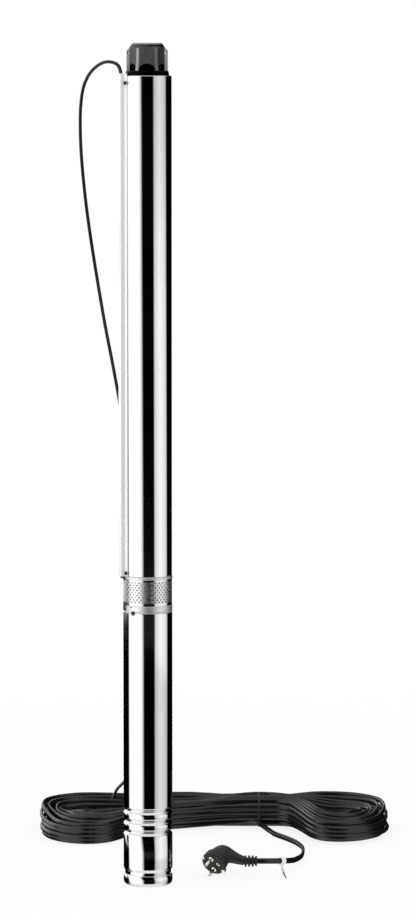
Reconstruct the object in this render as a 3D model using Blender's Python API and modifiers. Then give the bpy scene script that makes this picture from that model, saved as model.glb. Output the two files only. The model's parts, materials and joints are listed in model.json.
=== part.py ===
"""Borehole submersible pump with its flat cable and mains plug. Metres, +Z up, motor foot on the origin.

The camera side of the product is -Y. The cable guard lies to the left, at GUARD_AZIMUTH.
"""
import math

import bmesh
import bpy
from mathutils import Matrix, Vector

# Clearances
SEAT = 0.0003                    # between two pieces that touch
RUNNING = 0.0003                 # round a turning shaft
VALVE_PLAY = 0.0005              # round the valve's stem

# Tubes and castings, outside
MOTOR_RADIUS = 0.0375
MOTOR_WALL = 0.0015
SHELL_RADIUS = 0.0370
SHELL_WALL = 0.0015
LIP_RADIUS = 0.0379
SCREEN_RADIUS = 0.0375
SCREEN_WALL = 0.0007

# Lengths along the axis, from the foot up
CAP_HEIGHT = 0.017
COVER_FLANGE = 0.002
BRACKET_FLANGE = 0.009
WINDOW_HEIGHT = 0.0405
LIP_HEIGHT = 0.0038
HEAD_SPIGOT = 0.0365             # inside the shell
HEAD_FLANGE = 0.007
HEAD_BODY = 0.0318
HEAD_CHAMFER = 0.0105

# Motor
CAP_CORNER = 0.006
CAP_FLOOR = 0.012
CAP_SPIGOT = 0.013
SPIGOT_WALL = 0.0035
NECK_RADIUS = 0.0353
NECK_HEIGHT = 0.004
NECK_CURVE = 0.014
BEAD_HEIGHTS = (0.0830, 0.0994, 0.1158)
BEAD_DEPTH = 0.0030
BEAD_WIDTH = 0.0100
CAPACITOR_RADIUS = 0.022
CAPACITOR_LENGTH = 0.052
BRACKET_BASE = 0.076             # height of the lower bearing bracket's underside
BRACKET_DEPTH = 0.046
LOWER_BEARING = 0.105            # height of the lower bearing's underside
BEARING_WIDTH = 0.011
BEARING_OUTER = 0.0175
BEARING_BORE = 0.0075
BALL_RADIUS = 0.0029
BALL_COUNT = 7
STATOR_LENGTH = 0.155
STATOR_BORE = 0.0190
SLOTS = 12
SLOT_WIDTH = 0.0055
SLOT_MOUTH = 0.0022
SLOT_INNER = 0.0215
SLOT_OUTER = 0.0305
WINDING_INNER = 0.0205
WINDING_OUTER = 0.0342
WINDING_HEAD = 0.024
WINDING_CLEARANCE = 0.006        # to the lower bearing's bracket
SPLICE_ROOM = 0.0131             # between the winding and the top cover
ROTOR_RADIUS = 0.0182
ROTOR_RING = 0.006
SHAFT_RADIUS = 0.0095
SHAFT_SEAL_RADIUS = 0.0070
SHAFT_STUB_RADIUS = 0.0055
SHAFT_BELOW_BEARING = 0.005
COVER_SPIGOT = 0.076
COVER_LIP = 0.012                # depth of the upper bearing's pocket mouth
SEAL_CHAMBER = 0.0150
SEAL_CHAMBER_DEPTH = 0.050
THROAT_RADIUS = 0.012
SEAL_SEAT_HEIGHT = 0.0137
SEAL_SEAT_BORE = 0.0080
SEAL_HEAD_HEIGHT = 0.0157
SEAL_HEAD_RADIUS = 0.0120
SLINGER_RADIUS = 0.0140
SLINGER_HEIGHT = 0.0045
SLINGER_LIFT = 0.0012            # slinger above the motor's top face

# Suction bracket, screen and coupling
BRACKET_BORE = 0.0165
INTAKE_BORE = 0.0270
LEG_COUNT = 4
LEG_WIDTH = 0.009
LEG_AZIMUTH = 262.0              # degrees; the first leg
SPIGOT_HEIGHT = 0.014
FIT_RADIUS = SHELL_RADIUS - SHELL_WALL - SEAT
HOLE_ROWS = 2
HOLE_COLUMNS = 14
HOLE_RADIUS = 0.0050
HOLE_SIDES = 6
COUPLING_RADIUS = 0.011
COUPLING_LIFT = 0.0095           # above the motor's top face
SHAFT_OVERLAP = 0.017            # motor shaft inside the coupling
SHAFT_END_GAP = 0.002
BOLT_AZIMUTHS = (232.0, 52.0)
BOLT_CIRCLE = 0.0322
BOLT_RADIUS = 0.0025
BOLT_HEAD_RADIUS = 0.0042
BOLT_HEAD_HEIGHT = 0.0035
BOLT_DEPTH = 0.014

# Pump stages
STAGE_PITCH = 0.0624
STAGES_PER_NODE = 2
STAGE_NODES = 5
BOWL_WALL = 0.0018
HEX_ACROSS_FLATS = 0.012
HUB_RADIUS = 0.0090
HUB_CLEARANCE = 0.0006
IMPELLER_INLET_HUB = 0.0125
IMPELLER_OUTLET_HUB = 0.0215
IMPELLER_TIP_CLEARANCE = 0.0018   # to the bowl's corners; its flats lie nearer
IMPELLER_RISE = 0.022
IMPELLER_LIFT = 0.003            # impeller's lower edge above its stage
BLADES = 4
BLADE_WRAP = 70.0                # degrees
BLADE_THICKNESS = 0.0014
DIFFUSER_LIFT = 0.0275
DIFFUSER_RISE = 0.0225
DIFFUSER_LOWER = 0.0245
DIFFUSER_UPPER = 0.0150
VANES = 4
VANE_WRAP = -40.0
VANE_THICKNESS = 0.0014

# Upper bearing, nut and check valve
SPIDER_HEIGHT = 0.022
SPIDER_HUB = 0.0150
SPIDER_WALL = 0.0030
BUSH_RADIUS = 0.0122
SLEEVE_RADIUS = 0.0090
SLEEVE_PROUD = 0.0008
NUT_ACROSS_FLATS = 0.017
NUT_HEIGHT = 0.008
SHAFT_PROUD = 0.004
VALVE_SEAT_HEIGHT = 0.022
VALVE_BORE = 0.0185
POPPET_RADIUS = 0.0225
POPPET_THICKNESS = 0.005
STEM_RADIUS = 0.0040
STEM_PROUD = 0.002
CAGE_HEIGHT = 0.040
CAGE_WALL = 0.0037
GUIDE_ARM = 0.005
GUIDE_RADIUS = 0.0075
GUIDE_LENGTH = 0.011
SPRING_RADIUS = 0.0095
SPRING_WIRE = 0.0007
SPRING_TURNS = 4

# Discharge head
HEAD_FLANGE_RADIUS = 0.0325
HEAD_CORNER_RADIUS = 0.0297
HEAD_RIM_RADIUS = 0.0223
SOCKET_RADIUS = 0.0195
FUNNEL_HEIGHT = 0.028
ARCH_RADIUS = 0.0097
ARCH_DEPTH = 0.0035
ARCH_CENTRE = 0.0028             # above the flange
EAR_REACH = 0.0315
EAR_WIDTH = 0.0090
EAR_HEIGHT = 0.036
EYE_DIAMETER = 0.0065
EYE_HEIGHT = 0.0273               # above the flange
EYE_OFFSET = 0.0275

# Cable guard and lead
GUARD_AZIMUTH = 198.0
GUARD_REACH = 0.0450
GUARD_WALL = 0.0008
GUARD_CHANNEL = 0.0126           # outer width of the channel
GUARD_FLANGE_ANGLE = 18.0        # degrees either side of the channel's middle
GUARD_PROUD = 0.0031             # above the shell's upper end
LEAD_WIDTH = 0.0090
LEAD_THICKNESS = 0.0048
GLAND_WIDTH = 0.0150
GLAND_DEPTH = 0.0069
GLAND_HEIGHT = 0.0140
SCREEN_GAP_ANGLE = 13.0
SCREW_RADIUS = 0.0015
SCREW_HEAD_RADIUS = 0.0028
SCREW_HEAD_HEIGHT = 0.0018
SCREW_LENGTH = 0.0050
SCREW_ANGLE = 14.0
LOWER_SCREW_INSET = 0.0050       # from the guard's lower end
UPPER_SCREW_INSET = 0.0140

# Free cable, hank and plug
CORD_DIAMETER = 0.0069           # mean of the flat cable's width and thickness
CORD_SPACING = 0.0160
RISER_SPACING = 0.0270
HANK_SPACING = 0.0320
RISER_BEND = 0.110               # length of the bend over the guard
HANK_HEIGHT = 0.047
TIE_WIDTH = 0.005
TIE_THICKNESS = 0.0015
TIE_X = 0.176
TAIL_X = 0.166                   # where the plug's end leaves the hank
TAIL_TIE_STEPS = 3               # tie's place on the tail, in steps of CORD_SPACING from the plug
PLUG_FACE = Vector((0.0995, 0.0520, 0.0203))
PLUG_AXIS = Vector((-0.47, -0.77, -0.43)).normalized()
PLUG_RADIUS = 0.0195
PLUG_DEPTH = 0.014
PIN_PITCH = 0.019
PIN_LENGTH = 0.019
PIN_RADIUS = 0.0024
PIN_SEAT = 0.004
EARTH_RADIUS = 0.0024
SLEEVE_START = Vector((0.1463, 0.0700, 0.0218))
SLEEVE_LENGTH = 0.0218
SLEEVE_RIBS = 3
RIB_RADIUS = 0.0084
SLEEVE_CORE = 0.0066

# Heights that follow
CAP_TOP = CAP_HEIGHT
MOTOR_BOTTOM = CAP_TOP + SEAT
STATOR_BASE = BRACKET_BASE + BRACKET_DEPTH + WINDING_CLEARANCE + WINDING_HEAD
WINDING_TOP = STATOR_BASE + STATOR_LENGTH + WINDING_HEAD
MOTOR_TOP = WINDING_TOP + SPLICE_ROOM + COVER_SPIGOT - SEAT
COVER_TOP = MOTOR_TOP + SEAT + COVER_FLANGE
FLANGE_BOTTOM = COVER_TOP + SEAT
WINDOW_BOTTOM = FLANGE_BOTTOM + BRACKET_FLANGE
WINDOW_TOP = WINDOW_BOTTOM + WINDOW_HEIGHT
LIP_TOP = WINDOW_TOP + LIP_HEIGHT
SHELL_BOTTOM = LIP_TOP + SEAT
STACK_BOTTOM = LIP_TOP + SPIGOT_HEIGHT + SEAT
NODE_PITCH = STAGE_PITCH * STAGES_PER_NODE
STACK_TOP = STACK_BOTTOM + NODE_PITCH * STAGE_NODES
SPIDER_BOTTOM = STACK_TOP
SPIDER_TOP = SPIDER_BOTTOM + SPIDER_HEIGHT
VALVE_BOTTOM = SPIDER_TOP + SEAT
VALVE_TOP = VALVE_BOTTOM + VALVE_SEAT_HEIGHT
POPPET_BOTTOM = VALVE_TOP + SEAT
CAGE_TOP = POPPET_BOTTOM + CAGE_HEIGHT
SHELL_TOP = CAGE_TOP + SEAT + HEAD_SPIGOT
HEAD_BOTTOM = SHELL_TOP + SEAT
HEAD_FLANGE_TOP = HEAD_BOTTOM + HEAD_FLANGE
HEAD_TOP = HEAD_FLANGE_TOP + HEAD_BODY + HEAD_CHAMFER
UPPER_BEARING = MOTOR_TOP + SEAT - COVER_SPIGOT + COVER_LIP
COUPLING_BOTTOM = COVER_TOP + COUPLING_LIFT
MOTOR_SHAFT_TOP = COUPLING_BOTTOM + SHAFT_OVERLAP
PUMP_SHAFT_BOTTOM = MOTOR_SHAFT_TOP + SHAFT_END_GAP
SLEEVE_TOP = SPIDER_TOP + SLEEVE_PROUD
NUT_BOTTOM = SLEEVE_TOP + SEAT
PUMP_SHAFT_TOP = NUT_BOTTOM + NUT_HEIGHT + SHAFT_PROUD
GUARD_BOTTOM = LIP_TOP + SEAT
GUARD_TOP = SHELL_TOP + GUARD_PROUD
LEAD_RADIUS = GUARD_REACH - GUARD_WALL - SEAT - LEAD_THICKNESS / 2

OUTER_STEPS = 24                 # tubes and castings
HIDDEN_STEPS = 12                # pieces inside the tubes: half as many, so that the corners line up
INNER_STEPS = 16


# The scene and its two collections
def fresh_scene():
    for item in list(bpy.data.objects):
        bpy.data.objects.remove(item, do_unlink=True)
    made = []
    for title, hidden in (("borehole_pump", False), ("cutters", True)):
        group = bpy.data.collections.new(title)
        group.hide_render = hidden
        bpy.context.scene.collection.children.link(group)
        made.append(group)
    return made


PUMP, CUTTERS = fresh_scene()


def material(name, colour, roughness, metallic=0.0):
    made = bpy.data.materials.new(name)
    made.use_nodes = True
    shader = made.node_tree.nodes["Principled BSDF"]
    shader.inputs["Base Color"].default_value = (*colour, 1.0)
    shader.inputs["Roughness"].default_value = roughness
    shader.inputs["Metallic"].default_value = metallic
    return made


STEEL = ((0.62, 0.62, 0.63), 0.16, 1.0)
BRUSHED = ((0.55, 0.55, 0.56), 0.35, 1.0)
CASTING = ((0.045, 0.045, 0.048), 0.45, 0.3)
IRON = ((0.20, 0.20, 0.21), 0.5, 0.9)
COPPER = ((0.62, 0.28, 0.13), 0.4, 0.9)
BLACK_RUBBER = ((0.012, 0.012, 0.013), 0.6, 0.0)
BLACK_PLASTIC = ((0.02, 0.02, 0.022), 0.45, 0.0)
WHITE_PLASTIC = ((0.80, 0.80, 0.78), 0.45, 0.0)
STAGE_PLASTIC = ((0.72, 0.70, 0.64), 0.5, 0.0)
BRASS = ((0.70, 0.52, 0.24), 0.3, 1.0)
CERAMIC = ((0.78, 0.76, 0.70), 0.4, 0.0)


# Making and joining shapes
def add_object(name, mesh, look, group=None):
    item = bpy.data.objects.new(name, mesh)
    (group or PUMP).objects.link(item)
    if look:
        mesh.materials.append(material(name, *look))
    if group is CUTTERS:
        item.hide_render = True
        item.display_type = "WIRE"
    return item


def smooth(item, angle=35.0):
    item.data.shade_smooth()
    item.data.set_sharp_from_angle(angle=math.radians(angle))
    return item


def from_bmesh(name, bm, look, group=None):
    mesh = bpy.data.meshes.new(name)
    bm.to_mesh(mesh)
    bm.free()
    return add_object(name, mesh, look, group)


def settled(item):
    """The object with its modifiers or its curve turned into one closed mesh."""
    bpy.context.view_layer.update()
    seen = item.evaluated_get(bpy.context.evaluated_depsgraph_get())
    mesh = bpy.data.meshes.new_from_object(seen)
    bm = bmesh.new()
    bm.from_mesh(mesh)
    bmesh.ops.remove_doubles(bm, verts=bm.verts, dist=0.000005)
    bm.to_mesh(mesh)
    bm.free()
    name, place, groups = item.name, item.matrix_world.copy(), list(item.users_collection)
    hidden, shown_as = item.hide_render, item.display_type
    bpy.data.objects.remove(item, do_unlink=True)
    made = bpy.data.objects.new(name, mesh)
    made.matrix_world = place
    made.hide_render, made.display_type = hidden, shown_as
    for group in groups:
        group.objects.link(made)
    return made


def turned(name, outline, look, steps=INNER_STEPS, group=None):
    """A turned piece. The outline runs down its outer side and closes on itself or on the axis."""
    mesh = bpy.data.meshes.new(name)
    points = [(radius, 0.0, height) for radius, height in outline]
    on_axis = outline[0][0] == 0.0 and outline[-1][0] == 0.0
    count = len(points)
    edges = [(i, (i + 1) % count) for i in range(count - 1 if on_axis else count)]
    mesh.from_pydata(points, edges, [])
    item = add_object(name, mesh, look, group)
    screw = item.modifiers.new("turn", "SCREW")
    screw.steps = steps
    screw.render_steps = steps
    screw.use_merge_vertices = True
    screw.merge_threshold = 0.00001
    item = settled(item)
    return smooth(item)


def plate(name, outlines, bottom, top, look, group=None):
    """A flat outline, with its openings as further outlines, raised from one height to another."""
    curve = bpy.data.curves.new(name, "CURVE")
    curve.dimensions = "2D"
    curve.fill_mode = "BOTH"
    curve.extrude = (top - bottom) / 2
    for outline in outlines:
        spline = curve.splines.new("POLY")
        spline.points.add(len(outline) - 1)
        for point, (x, y) in zip(spline.points, outline):
            point.co = (x, y, 0.0, 1.0)
        spline.use_cyclic_u = True
    item = add_object(name, curve, look, group)
    item.location.z = (top + bottom) / 2
    return settled(item)


def tube(name, points, radius, look, resolution=2, group=None, radii=None):
    """A round bar along a line of points, with filled ends."""
    curve = bpy.data.curves.new(name, "CURVE")
    curve.dimensions = "3D"
    curve.bevel_depth = radius
    curve.bevel_resolution = resolution
    curve.use_fill_caps = True
    spline = curve.splines.new("POLY")
    spline.points.add(len(points) - 1)
    for place, point in zip(points, spline.points):
        point.co = (*place, 1.0)
    for share, point in zip(radii or (), spline.points):
        point.radius = share
    return settled(add_object(name, curve, look, group))


def boolean(item, other, operation):
    cut = item.modifiers.new(f"{operation.lower()}_{other.name}", "BOOLEAN")
    cut.operation = operation
    cut.solver = "EXACT"
    cut.object = other
    return item


def cut(item, other):
    return boolean(item, other, "DIFFERENCE")


def join(item, other):
    return boolean(item, other, "UNION")


def around(angle_degrees):
    return Matrix.Rotation(math.radians(angle_degrees), 4, "Z")


def add_box(bm, low, high, turn=Matrix()):
    size = [b - a for a, b in zip(low, high)]
    middle = [(a + b) / 2 for a, b in zip(low, high)]
    place = turn @ Matrix.Translation(middle) @ Matrix.Diagonal((*size, 1.0))
    bmesh.ops.create_cube(bm, size=1.0, matrix=place)


def add_cylinder(bm, radius, start, end, sides=12, turn=Matrix()):
    start, end = Vector(start), Vector(end)
    along = end - start
    place = turn @ Matrix.Translation((start + end) / 2) @ along.to_track_quat("Z", "Y").to_matrix().to_4x4()
    bmesh.ops.create_cone(bm, cap_ends=True, segments=sides, radius1=radius, radius2=radius,
                          depth=along.length, matrix=place)


def hexagon(across_flats):
    corner = across_flats / math.sqrt(3.0)
    return [(corner * math.cos(math.radians(60 * i)), corner * math.sin(math.radians(60 * i))) for i in range(6)]


def hex_cutter(name, bottom, top):
    return plate(name, [hexagon(HEX_ACROSS_FLATS + 2 * RUNNING)], bottom, top, None, CUTTERS)


# Motor
def bead_points(radius, descending=True):
    """The three rolled beads of the motor tube, as points down a wall of this radius."""
    points = []
    for height in sorted(BEAD_HEIGHTS, reverse=True):
        half = BEAD_WIDTH / 2
        points += [(radius, height + half), (radius - BEAD_DEPTH, height), (radius, height - half)]
    return points if descending else points[::-1]


def neck_points(radius, neck, bottom, descending=True):
    """The tube's lower end, drawn in to the neck above the end cap."""
    top = MOTOR_BOTTOM + NECK_HEIGHT + NECK_CURVE
    points = []
    for step in range(3):
        share = step / 2
        points.append((neck + (radius - neck) * math.cos(share * math.pi / 2), top - NECK_CURVE * share))
    points.append((neck, bottom))
    return points if descending else points[::-1]


def motor_shell():
    inner = MOTOR_RADIUS - MOTOR_WALL
    outline = [(MOTOR_RADIUS, MOTOR_TOP)] + bead_points(MOTOR_RADIUS)
    outline += neck_points(MOTOR_RADIUS, NECK_RADIUS, MOTOR_BOTTOM)
    outline += neck_points(inner, NECK_RADIUS - MOTOR_WALL, MOTOR_BOTTOM, descending=False)
    outline += bead_points(inner, descending=False) + [(inner, MOTOR_TOP)]
    turned("motor_shell", outline, STEEL, OUTER_STEPS)


def motor_end_cap():
    spigot = NECK_RADIUS - MOTOR_WALL - SEAT
    outline = [(0.0, CAP_FLOOR), (spigot - SPIGOT_WALL, CAP_FLOOR), (spigot - SPIGOT_WALL, CAP_TOP + CAP_SPIGOT)]
    outline += [(spigot, CAP_TOP + CAP_SPIGOT), (spigot, CAP_TOP), (MOTOR_RADIUS, CAP_TOP)]
    for step in range(3):
        angle = step / 2 * math.pi / 2
        outline.append((MOTOR_RADIUS - CAP_CORNER * (1 - math.cos(angle)), CAP_CORNER * (1 - math.sin(angle))))
    turned("motor_end_cap", outline + [(0.0, 0.0)], STEEL, OUTER_STEPS)


def capacitor():
    bottom = CAP_FLOOR + SEAT
    top = bottom + CAPACITOR_LENGTH
    rim = CAPACITOR_RADIUS * 0.9
    dish = CAPACITOR_LENGTH * 0.03
    outline = [(0.0, top - dish), (rim, top - dish), (rim, top), (CAPACITOR_RADIUS, top)]
    turned("capacitor", outline + [(CAPACITOR_RADIUS, bottom), (0.0, bottom)], WHITE_PLASTIC)


def lower_bearing_bracket():
    outer = MOTOR_RADIUS - MOTOR_WALL - SEAT
    top = BRACKET_BASE + BRACKET_DEPTH
    pocket = (BEARING_OUTER + SEAT) / math.cos(math.pi / HIDDEN_STEPS)
    floor = LOWER_BEARING - SEAT
    groove = outer - BEAD_DEPTH
    high, low = max(BEAD_HEIGHTS) + BEAD_WIDTH / 2, min(BEAD_HEIGHTS) - BEAD_WIDTH / 2
    outline = [(outer, top), (outer, high), (groove, high), (groove, low)]
    if low > BRACKET_BASE + SEAT:
        outline += [(outer, low), (outer, BRACKET_BASE)]
    else:
        outline += [(groove, BRACKET_BASE)]
    outline += [(THROAT_RADIUS, BRACKET_BASE), (THROAT_RADIUS, floor), (pocket, floor), (pocket, top)]
    turned("lower_bearing_bracket", outline, IRON, HIDDEN_STEPS)


def bearing(prefix, bottom):
    """A deep-groove ball bearing: two rings, and the balls with their cage as one piece."""
    top = bottom + BEARING_WIDTH
    middle = (bottom + top) / 2
    pitch = (BEARING_OUTER + BEARING_BORE + RUNNING) / 2
    groove = BALL_RADIUS + RUNNING + SEAT / 2
    shoulder = BALL_RADIUS * 0.74
    wide = BALL_RADIUS * 0.90
    narrow = BALL_RADIUS * 0.42

    outer = [(BEARING_OUTER, top), (BEARING_OUTER, bottom), (pitch + shoulder, bottom)]
    outer += [(pitch + shoulder, middle - wide), (pitch + groove, middle - narrow)]
    outer += [(pitch + groove, middle + narrow), (pitch + shoulder, middle + wide), (pitch + shoulder, top)]
    turned(f"{prefix}_bearing_outer", outer, STEEL)

    bore = BEARING_BORE + RUNNING
    inner = [(pitch - shoulder, top), (pitch - shoulder, middle + wide), (pitch - groove, middle + narrow)]
    inner += [(pitch - groove, middle - narrow), (pitch - shoulder, middle - wide), (pitch - shoulder, bottom)]
    turned(f"{prefix}_bearing_inner", inner + [(bore, bottom), (bore, top)], STEEL)

    width, height = BALL_RADIUS * 0.30, BALL_RADIUS * 0.38
    ring = [(pitch + width, middle + height), (pitch + width, middle - height)]
    cage = turned(f"{prefix}_bearing_cage", ring + [(pitch - width, middle - height), (pitch - width, middle + height)],
                  BRASS)
    bm = bmesh.new()
    for ball in range(BALL_COUNT):
        place = around(360.0 * ball / BALL_COUNT) @ Matrix.Translation((pitch, 0.0, middle))
        bmesh.ops.create_uvsphere(bm, u_segments=6, v_segments=4, radius=BALL_RADIUS, matrix=place)
    join(cage, from_bmesh(f"{prefix}_balls", bm, None, CUTTERS))


def stator_outline():
    """The lamination's bore with its half-closed slots."""
    points = []
    mouth = math.asin(SLOT_MOUTH / 2 / STATOR_BORE)
    for slot in range(SLOTS):
        turn = around(360.0 * slot / SLOTS)
        half = SLOT_WIDTH / 2
        lip = STATOR_BORE * math.cos(mouth)
        shape = [(lip, -SLOT_MOUTH / 2), (SLOT_INNER - SLOT_MOUTH / 2, -SLOT_MOUTH / 2), (SLOT_INNER, -half)]
        shape += [(SLOT_OUTER, -half), (SLOT_OUTER, half), (SLOT_INNER, half)]
        shape += [(SLOT_INNER - SLOT_MOUTH / 2, SLOT_MOUTH / 2), (lip, SLOT_MOUTH / 2)]
        points += [tuple((turn @ Vector((x, y, 0.0)))[:2]) for x, y in shape]
    return points


def ring_points(radius, sides, centre=(0.0, 0.0)):
    return [(centre[0] + radius * math.cos(2 * math.pi * i / sides),
             centre[1] + radius * math.sin(2 * math.pi * i / sides)) for i in range(sides)]


def stator():
    top = STATOR_BASE + STATOR_LENGTH
    outer = MOTOR_RADIUS - MOTOR_WALL - SEAT
    plate("stator_core", [ring_points(outer, HIDDEN_STEPS), stator_outline()], STATOR_BASE, top, IRON)

    gap = 0.002
    low, high = STATOR_BASE - gap, top + gap
    ring = [(WINDING_OUTER, high + WINDING_HEAD), (WINDING_OUTER, high), (WINDING_INNER, high)]
    winding = turned("stator_winding", ring + [(WINDING_INNER, high + WINDING_HEAD)], COPPER)
    ring = [(WINDING_OUTER, low), (WINDING_OUTER, low - WINDING_HEAD), (WINDING_INNER, low - WINDING_HEAD)]
    join(winding, turned("lower_winding_head", ring + [(WINDING_INNER, low)], None, INNER_STEPS, CUTTERS))
    bm = bmesh.new()
    half = SLOT_WIDTH / 2 - SEAT
    for slot in range(SLOTS):
        add_box(bm, (SLOT_INNER + SEAT, -half, low - gap), (SLOT_OUTER - SEAT, half, high + gap),
                around(360.0 * slot / SLOTS))
    join(winding, from_bmesh("winding_bars", bm, None, CUTTERS))


def rotor():
    lower_race = LOWER_BEARING + BEARING_WIDTH
    outline = [(0.0, MOTOR_SHAFT_TOP), (SHAFT_STUB_RADIUS, MOTOR_SHAFT_TOP), (SHAFT_STUB_RADIUS, COUPLING_BOTTOM - SEAT)]
    outline += [(SHAFT_SEAL_RADIUS, COUPLING_BOTTOM - SEAT), (SHAFT_SEAL_RADIUS, UPPER_BEARING + BEARING_WIDTH + SEAT)]
    outline += [(BEARING_BORE, UPPER_BEARING + BEARING_WIDTH + SEAT), (BEARING_BORE, UPPER_BEARING - SEAT)]
    outline += [(SHAFT_RADIUS, UPPER_BEARING - SEAT), (SHAFT_RADIUS, lower_race + SEAT)]
    outline += [(BEARING_BORE, lower_race + SEAT), (BEARING_BORE, LOWER_BEARING - SHAFT_BELOW_BEARING)]
    turned("motor_shaft", outline + [(0.0, LOWER_BEARING - SHAFT_BELOW_BEARING)], STEEL)

    top = STATOR_BASE + STATOR_LENGTH
    ring = ROTOR_RADIUS * 0.93
    outline = [(ring, top + ROTOR_RING), (ring, top), (ROTOR_RADIUS, top), (ROTOR_RADIUS, STATOR_BASE)]
    outline += [(ring, STATOR_BASE), (ring, STATOR_BASE - ROTOR_RING)]
    bore = SHAFT_RADIUS + RUNNING
    outline += [(bore, STATOR_BASE - ROTOR_RING), (bore, top + ROTOR_RING)]
    turned("rotor_core", outline, IRON)


def motor_top_cover(bolts):
    bottom = MOTOR_TOP + SEAT
    outer = MOTOR_RADIUS - MOTOR_WALL - SEAT
    pocket = BEARING_OUTER + SEAT
    roof = UPPER_BEARING + BEARING_WIDTH + SEAT
    chamber = COVER_TOP - SEAL_CHAMBER_DEPTH
    outline = [(MOTOR_RADIUS, COVER_TOP), (MOTOR_RADIUS, bottom), (outer, bottom), (outer, bottom - COVER_SPIGOT)]
    outline += [(pocket, bottom - COVER_SPIGOT), (pocket, roof), (THROAT_RADIUS, roof), (THROAT_RADIUS, chamber)]
    outline += [(SEAL_CHAMBER, chamber), (SEAL_CHAMBER, COVER_TOP)]
    cut(turned("motor_top_cover", outline, BRUSHED, OUTER_STEPS), bolts)


def shaft_seal():
    bottom = COVER_TOP - SEAL_CHAMBER_DEPTH + SEAT
    top = bottom + SEAL_SEAT_HEIGHT
    outer = SEAL_CHAMBER - SEAT
    turned("seal_stationary", [(outer, top), (outer, bottom), (SEAL_SEAT_BORE, bottom), (SEAL_SEAT_BORE, top)], CERAMIC)
    bottom, top = top + SEAT, top + SEAT + SEAL_HEAD_HEIGHT
    bore = SHAFT_SEAL_RADIUS + RUNNING
    face, step = SEAL_HEAD_RADIUS * 0.85, SEAL_HEAD_HEIGHT * 0.3
    outline = [(SEAL_HEAD_RADIUS, top), (SEAL_HEAD_RADIUS, bottom + step), (face, bottom + step), (face, bottom)]
    turned("seal_rotating", outline + [(bore, bottom), (bore, top)], BLACK_RUBBER)
    bottom, top = COVER_TOP + SLINGER_LIFT, COVER_TOP + SLINGER_LIFT + SLINGER_HEIGHT
    skirt = SLINGER_RADIUS * 0.72
    outline = [(skirt, top), (SLINGER_RADIUS, top - SLINGER_HEIGHT / 2), (SLINGER_RADIUS, bottom), (bore, bottom)]
    turned("sand_slinger", outline + [(bore, top)], BLACK_RUBBER)


# Intake
def flange_bolts():
    for index, azimuth in enumerate(BOLT_AZIMUTHS):
        name = f"flange_bolt_{index + 1}"
        bm = bmesh.new()
        add_cylinder(bm, BOLT_HEAD_RADIUS, (BOLT_CIRCLE, 0.0, WINDOW_BOTTOM + SEAT),
                     (BOLT_CIRCLE, 0.0, WINDOW_BOTTOM + SEAT + BOLT_HEAD_HEIGHT), 6, around(azimuth))
        bolt = from_bmesh(name, bm, BLACK_PLASTIC)
        bm = bmesh.new()
        add_cylinder(bm, BOLT_RADIUS, (BOLT_CIRCLE, 0.0, WINDOW_BOTTOM + SEAT - BOLT_DEPTH),
                     (BOLT_CIRCLE, 0.0, WINDOW_BOTTOM + SEAT + BOLT_HEAD_HEIGHT / 2), 8, around(azimuth))
        join(bolt, from_bmesh(f"{name}_shank", bm, None, CUTTERS))


def bolt_holes():
    bm = bmesh.new()
    for azimuth in BOLT_AZIMUTHS:
        add_cylinder(bm, BOLT_RADIUS + SEAT, (BOLT_CIRCLE, 0.0, WINDOW_BOTTOM - BOLT_DEPTH - 2 * SEAT),
                     (BOLT_CIRCLE, 0.0, WINDOW_BOTTOM + BRACKET_FLANGE / 2), 8, around(azimuth))
    return from_bmesh("bolt_holes", bm, None, CUTTERS)


def suction_bracket(screw_holes, bolts):
    outline = [(MOTOR_RADIUS, WINDOW_BOTTOM), (MOTOR_RADIUS, FLANGE_BOTTOM), (BRACKET_BORE, FLANGE_BOTTOM)]
    bracket = turned("suction_bracket", outline + [(BRACKET_BORE, WINDOW_BOTTOM)], STEEL, OUTER_STEPS)
    top = LIP_TOP + SPIGOT_HEIGHT
    outline = [(FIT_RADIUS, top), (FIT_RADIUS, LIP_TOP), (LIP_RADIUS, LIP_TOP), (LIP_RADIUS, WINDOW_TOP)]
    outline += [(INTAKE_BORE, WINDOW_TOP), (INTAKE_BORE, top)]
    join(bracket, turned("bracket_ring", outline, None, OUTER_STEPS, CUTTERS))
    legs = bmesh.new()
    flat = math.radians((360.0 - 2 * SCREEN_GAP_ANGLE) / HOLE_COLUMNS / 2)
    reach = SCREEN_RADIUS * math.cos(flat) - SCREEN_WALL - SEAT
    inner, outer = INTAKE_BORE + SEAT, math.sqrt(reach ** 2 - (LEG_WIDTH / 2) ** 2)
    for leg in range(LEG_COUNT):
        low = (inner, -LEG_WIDTH / 2, WINDOW_BOTTOM - BRACKET_FLANGE / 2)
        add_box(legs, low, (outer, LEG_WIDTH / 2, WINDOW_TOP + LIP_HEIGHT / 2), around(LEG_AZIMUTH + 90.0 * leg))
    join(bracket, from_bmesh("bracket_legs", legs, None, CUTTERS))

    notches = bmesh.new()
    half = GLAND_WIDTH / 2 + SEAT
    reach = GUARD_REACH
    add_box(notches, (SCREEN_RADIUS - GLAND_DEPTH - 3 * SEAT, -half, FLANGE_BOTTOM - LIP_HEIGHT),
            (reach, half, WINDOW_BOTTOM + LIP_HEIGHT / 2), around(GUARD_AZIMUTH))
    half = LEAD_WIDTH / 2 + 2 * SEAT
    add_box(notches, (FIT_RADIUS - SEAT, -half, WINDOW_TOP - LIP_HEIGHT / 2), (reach, half, LIP_TOP + SEAT / 2),
            around(GUARD_AZIMUTH))
    cut(bracket, from_bmesh("bracket_notches", notches, None, CUTTERS))
    cut(bracket, bolts)
    cut(bracket, screw_holes)


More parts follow.
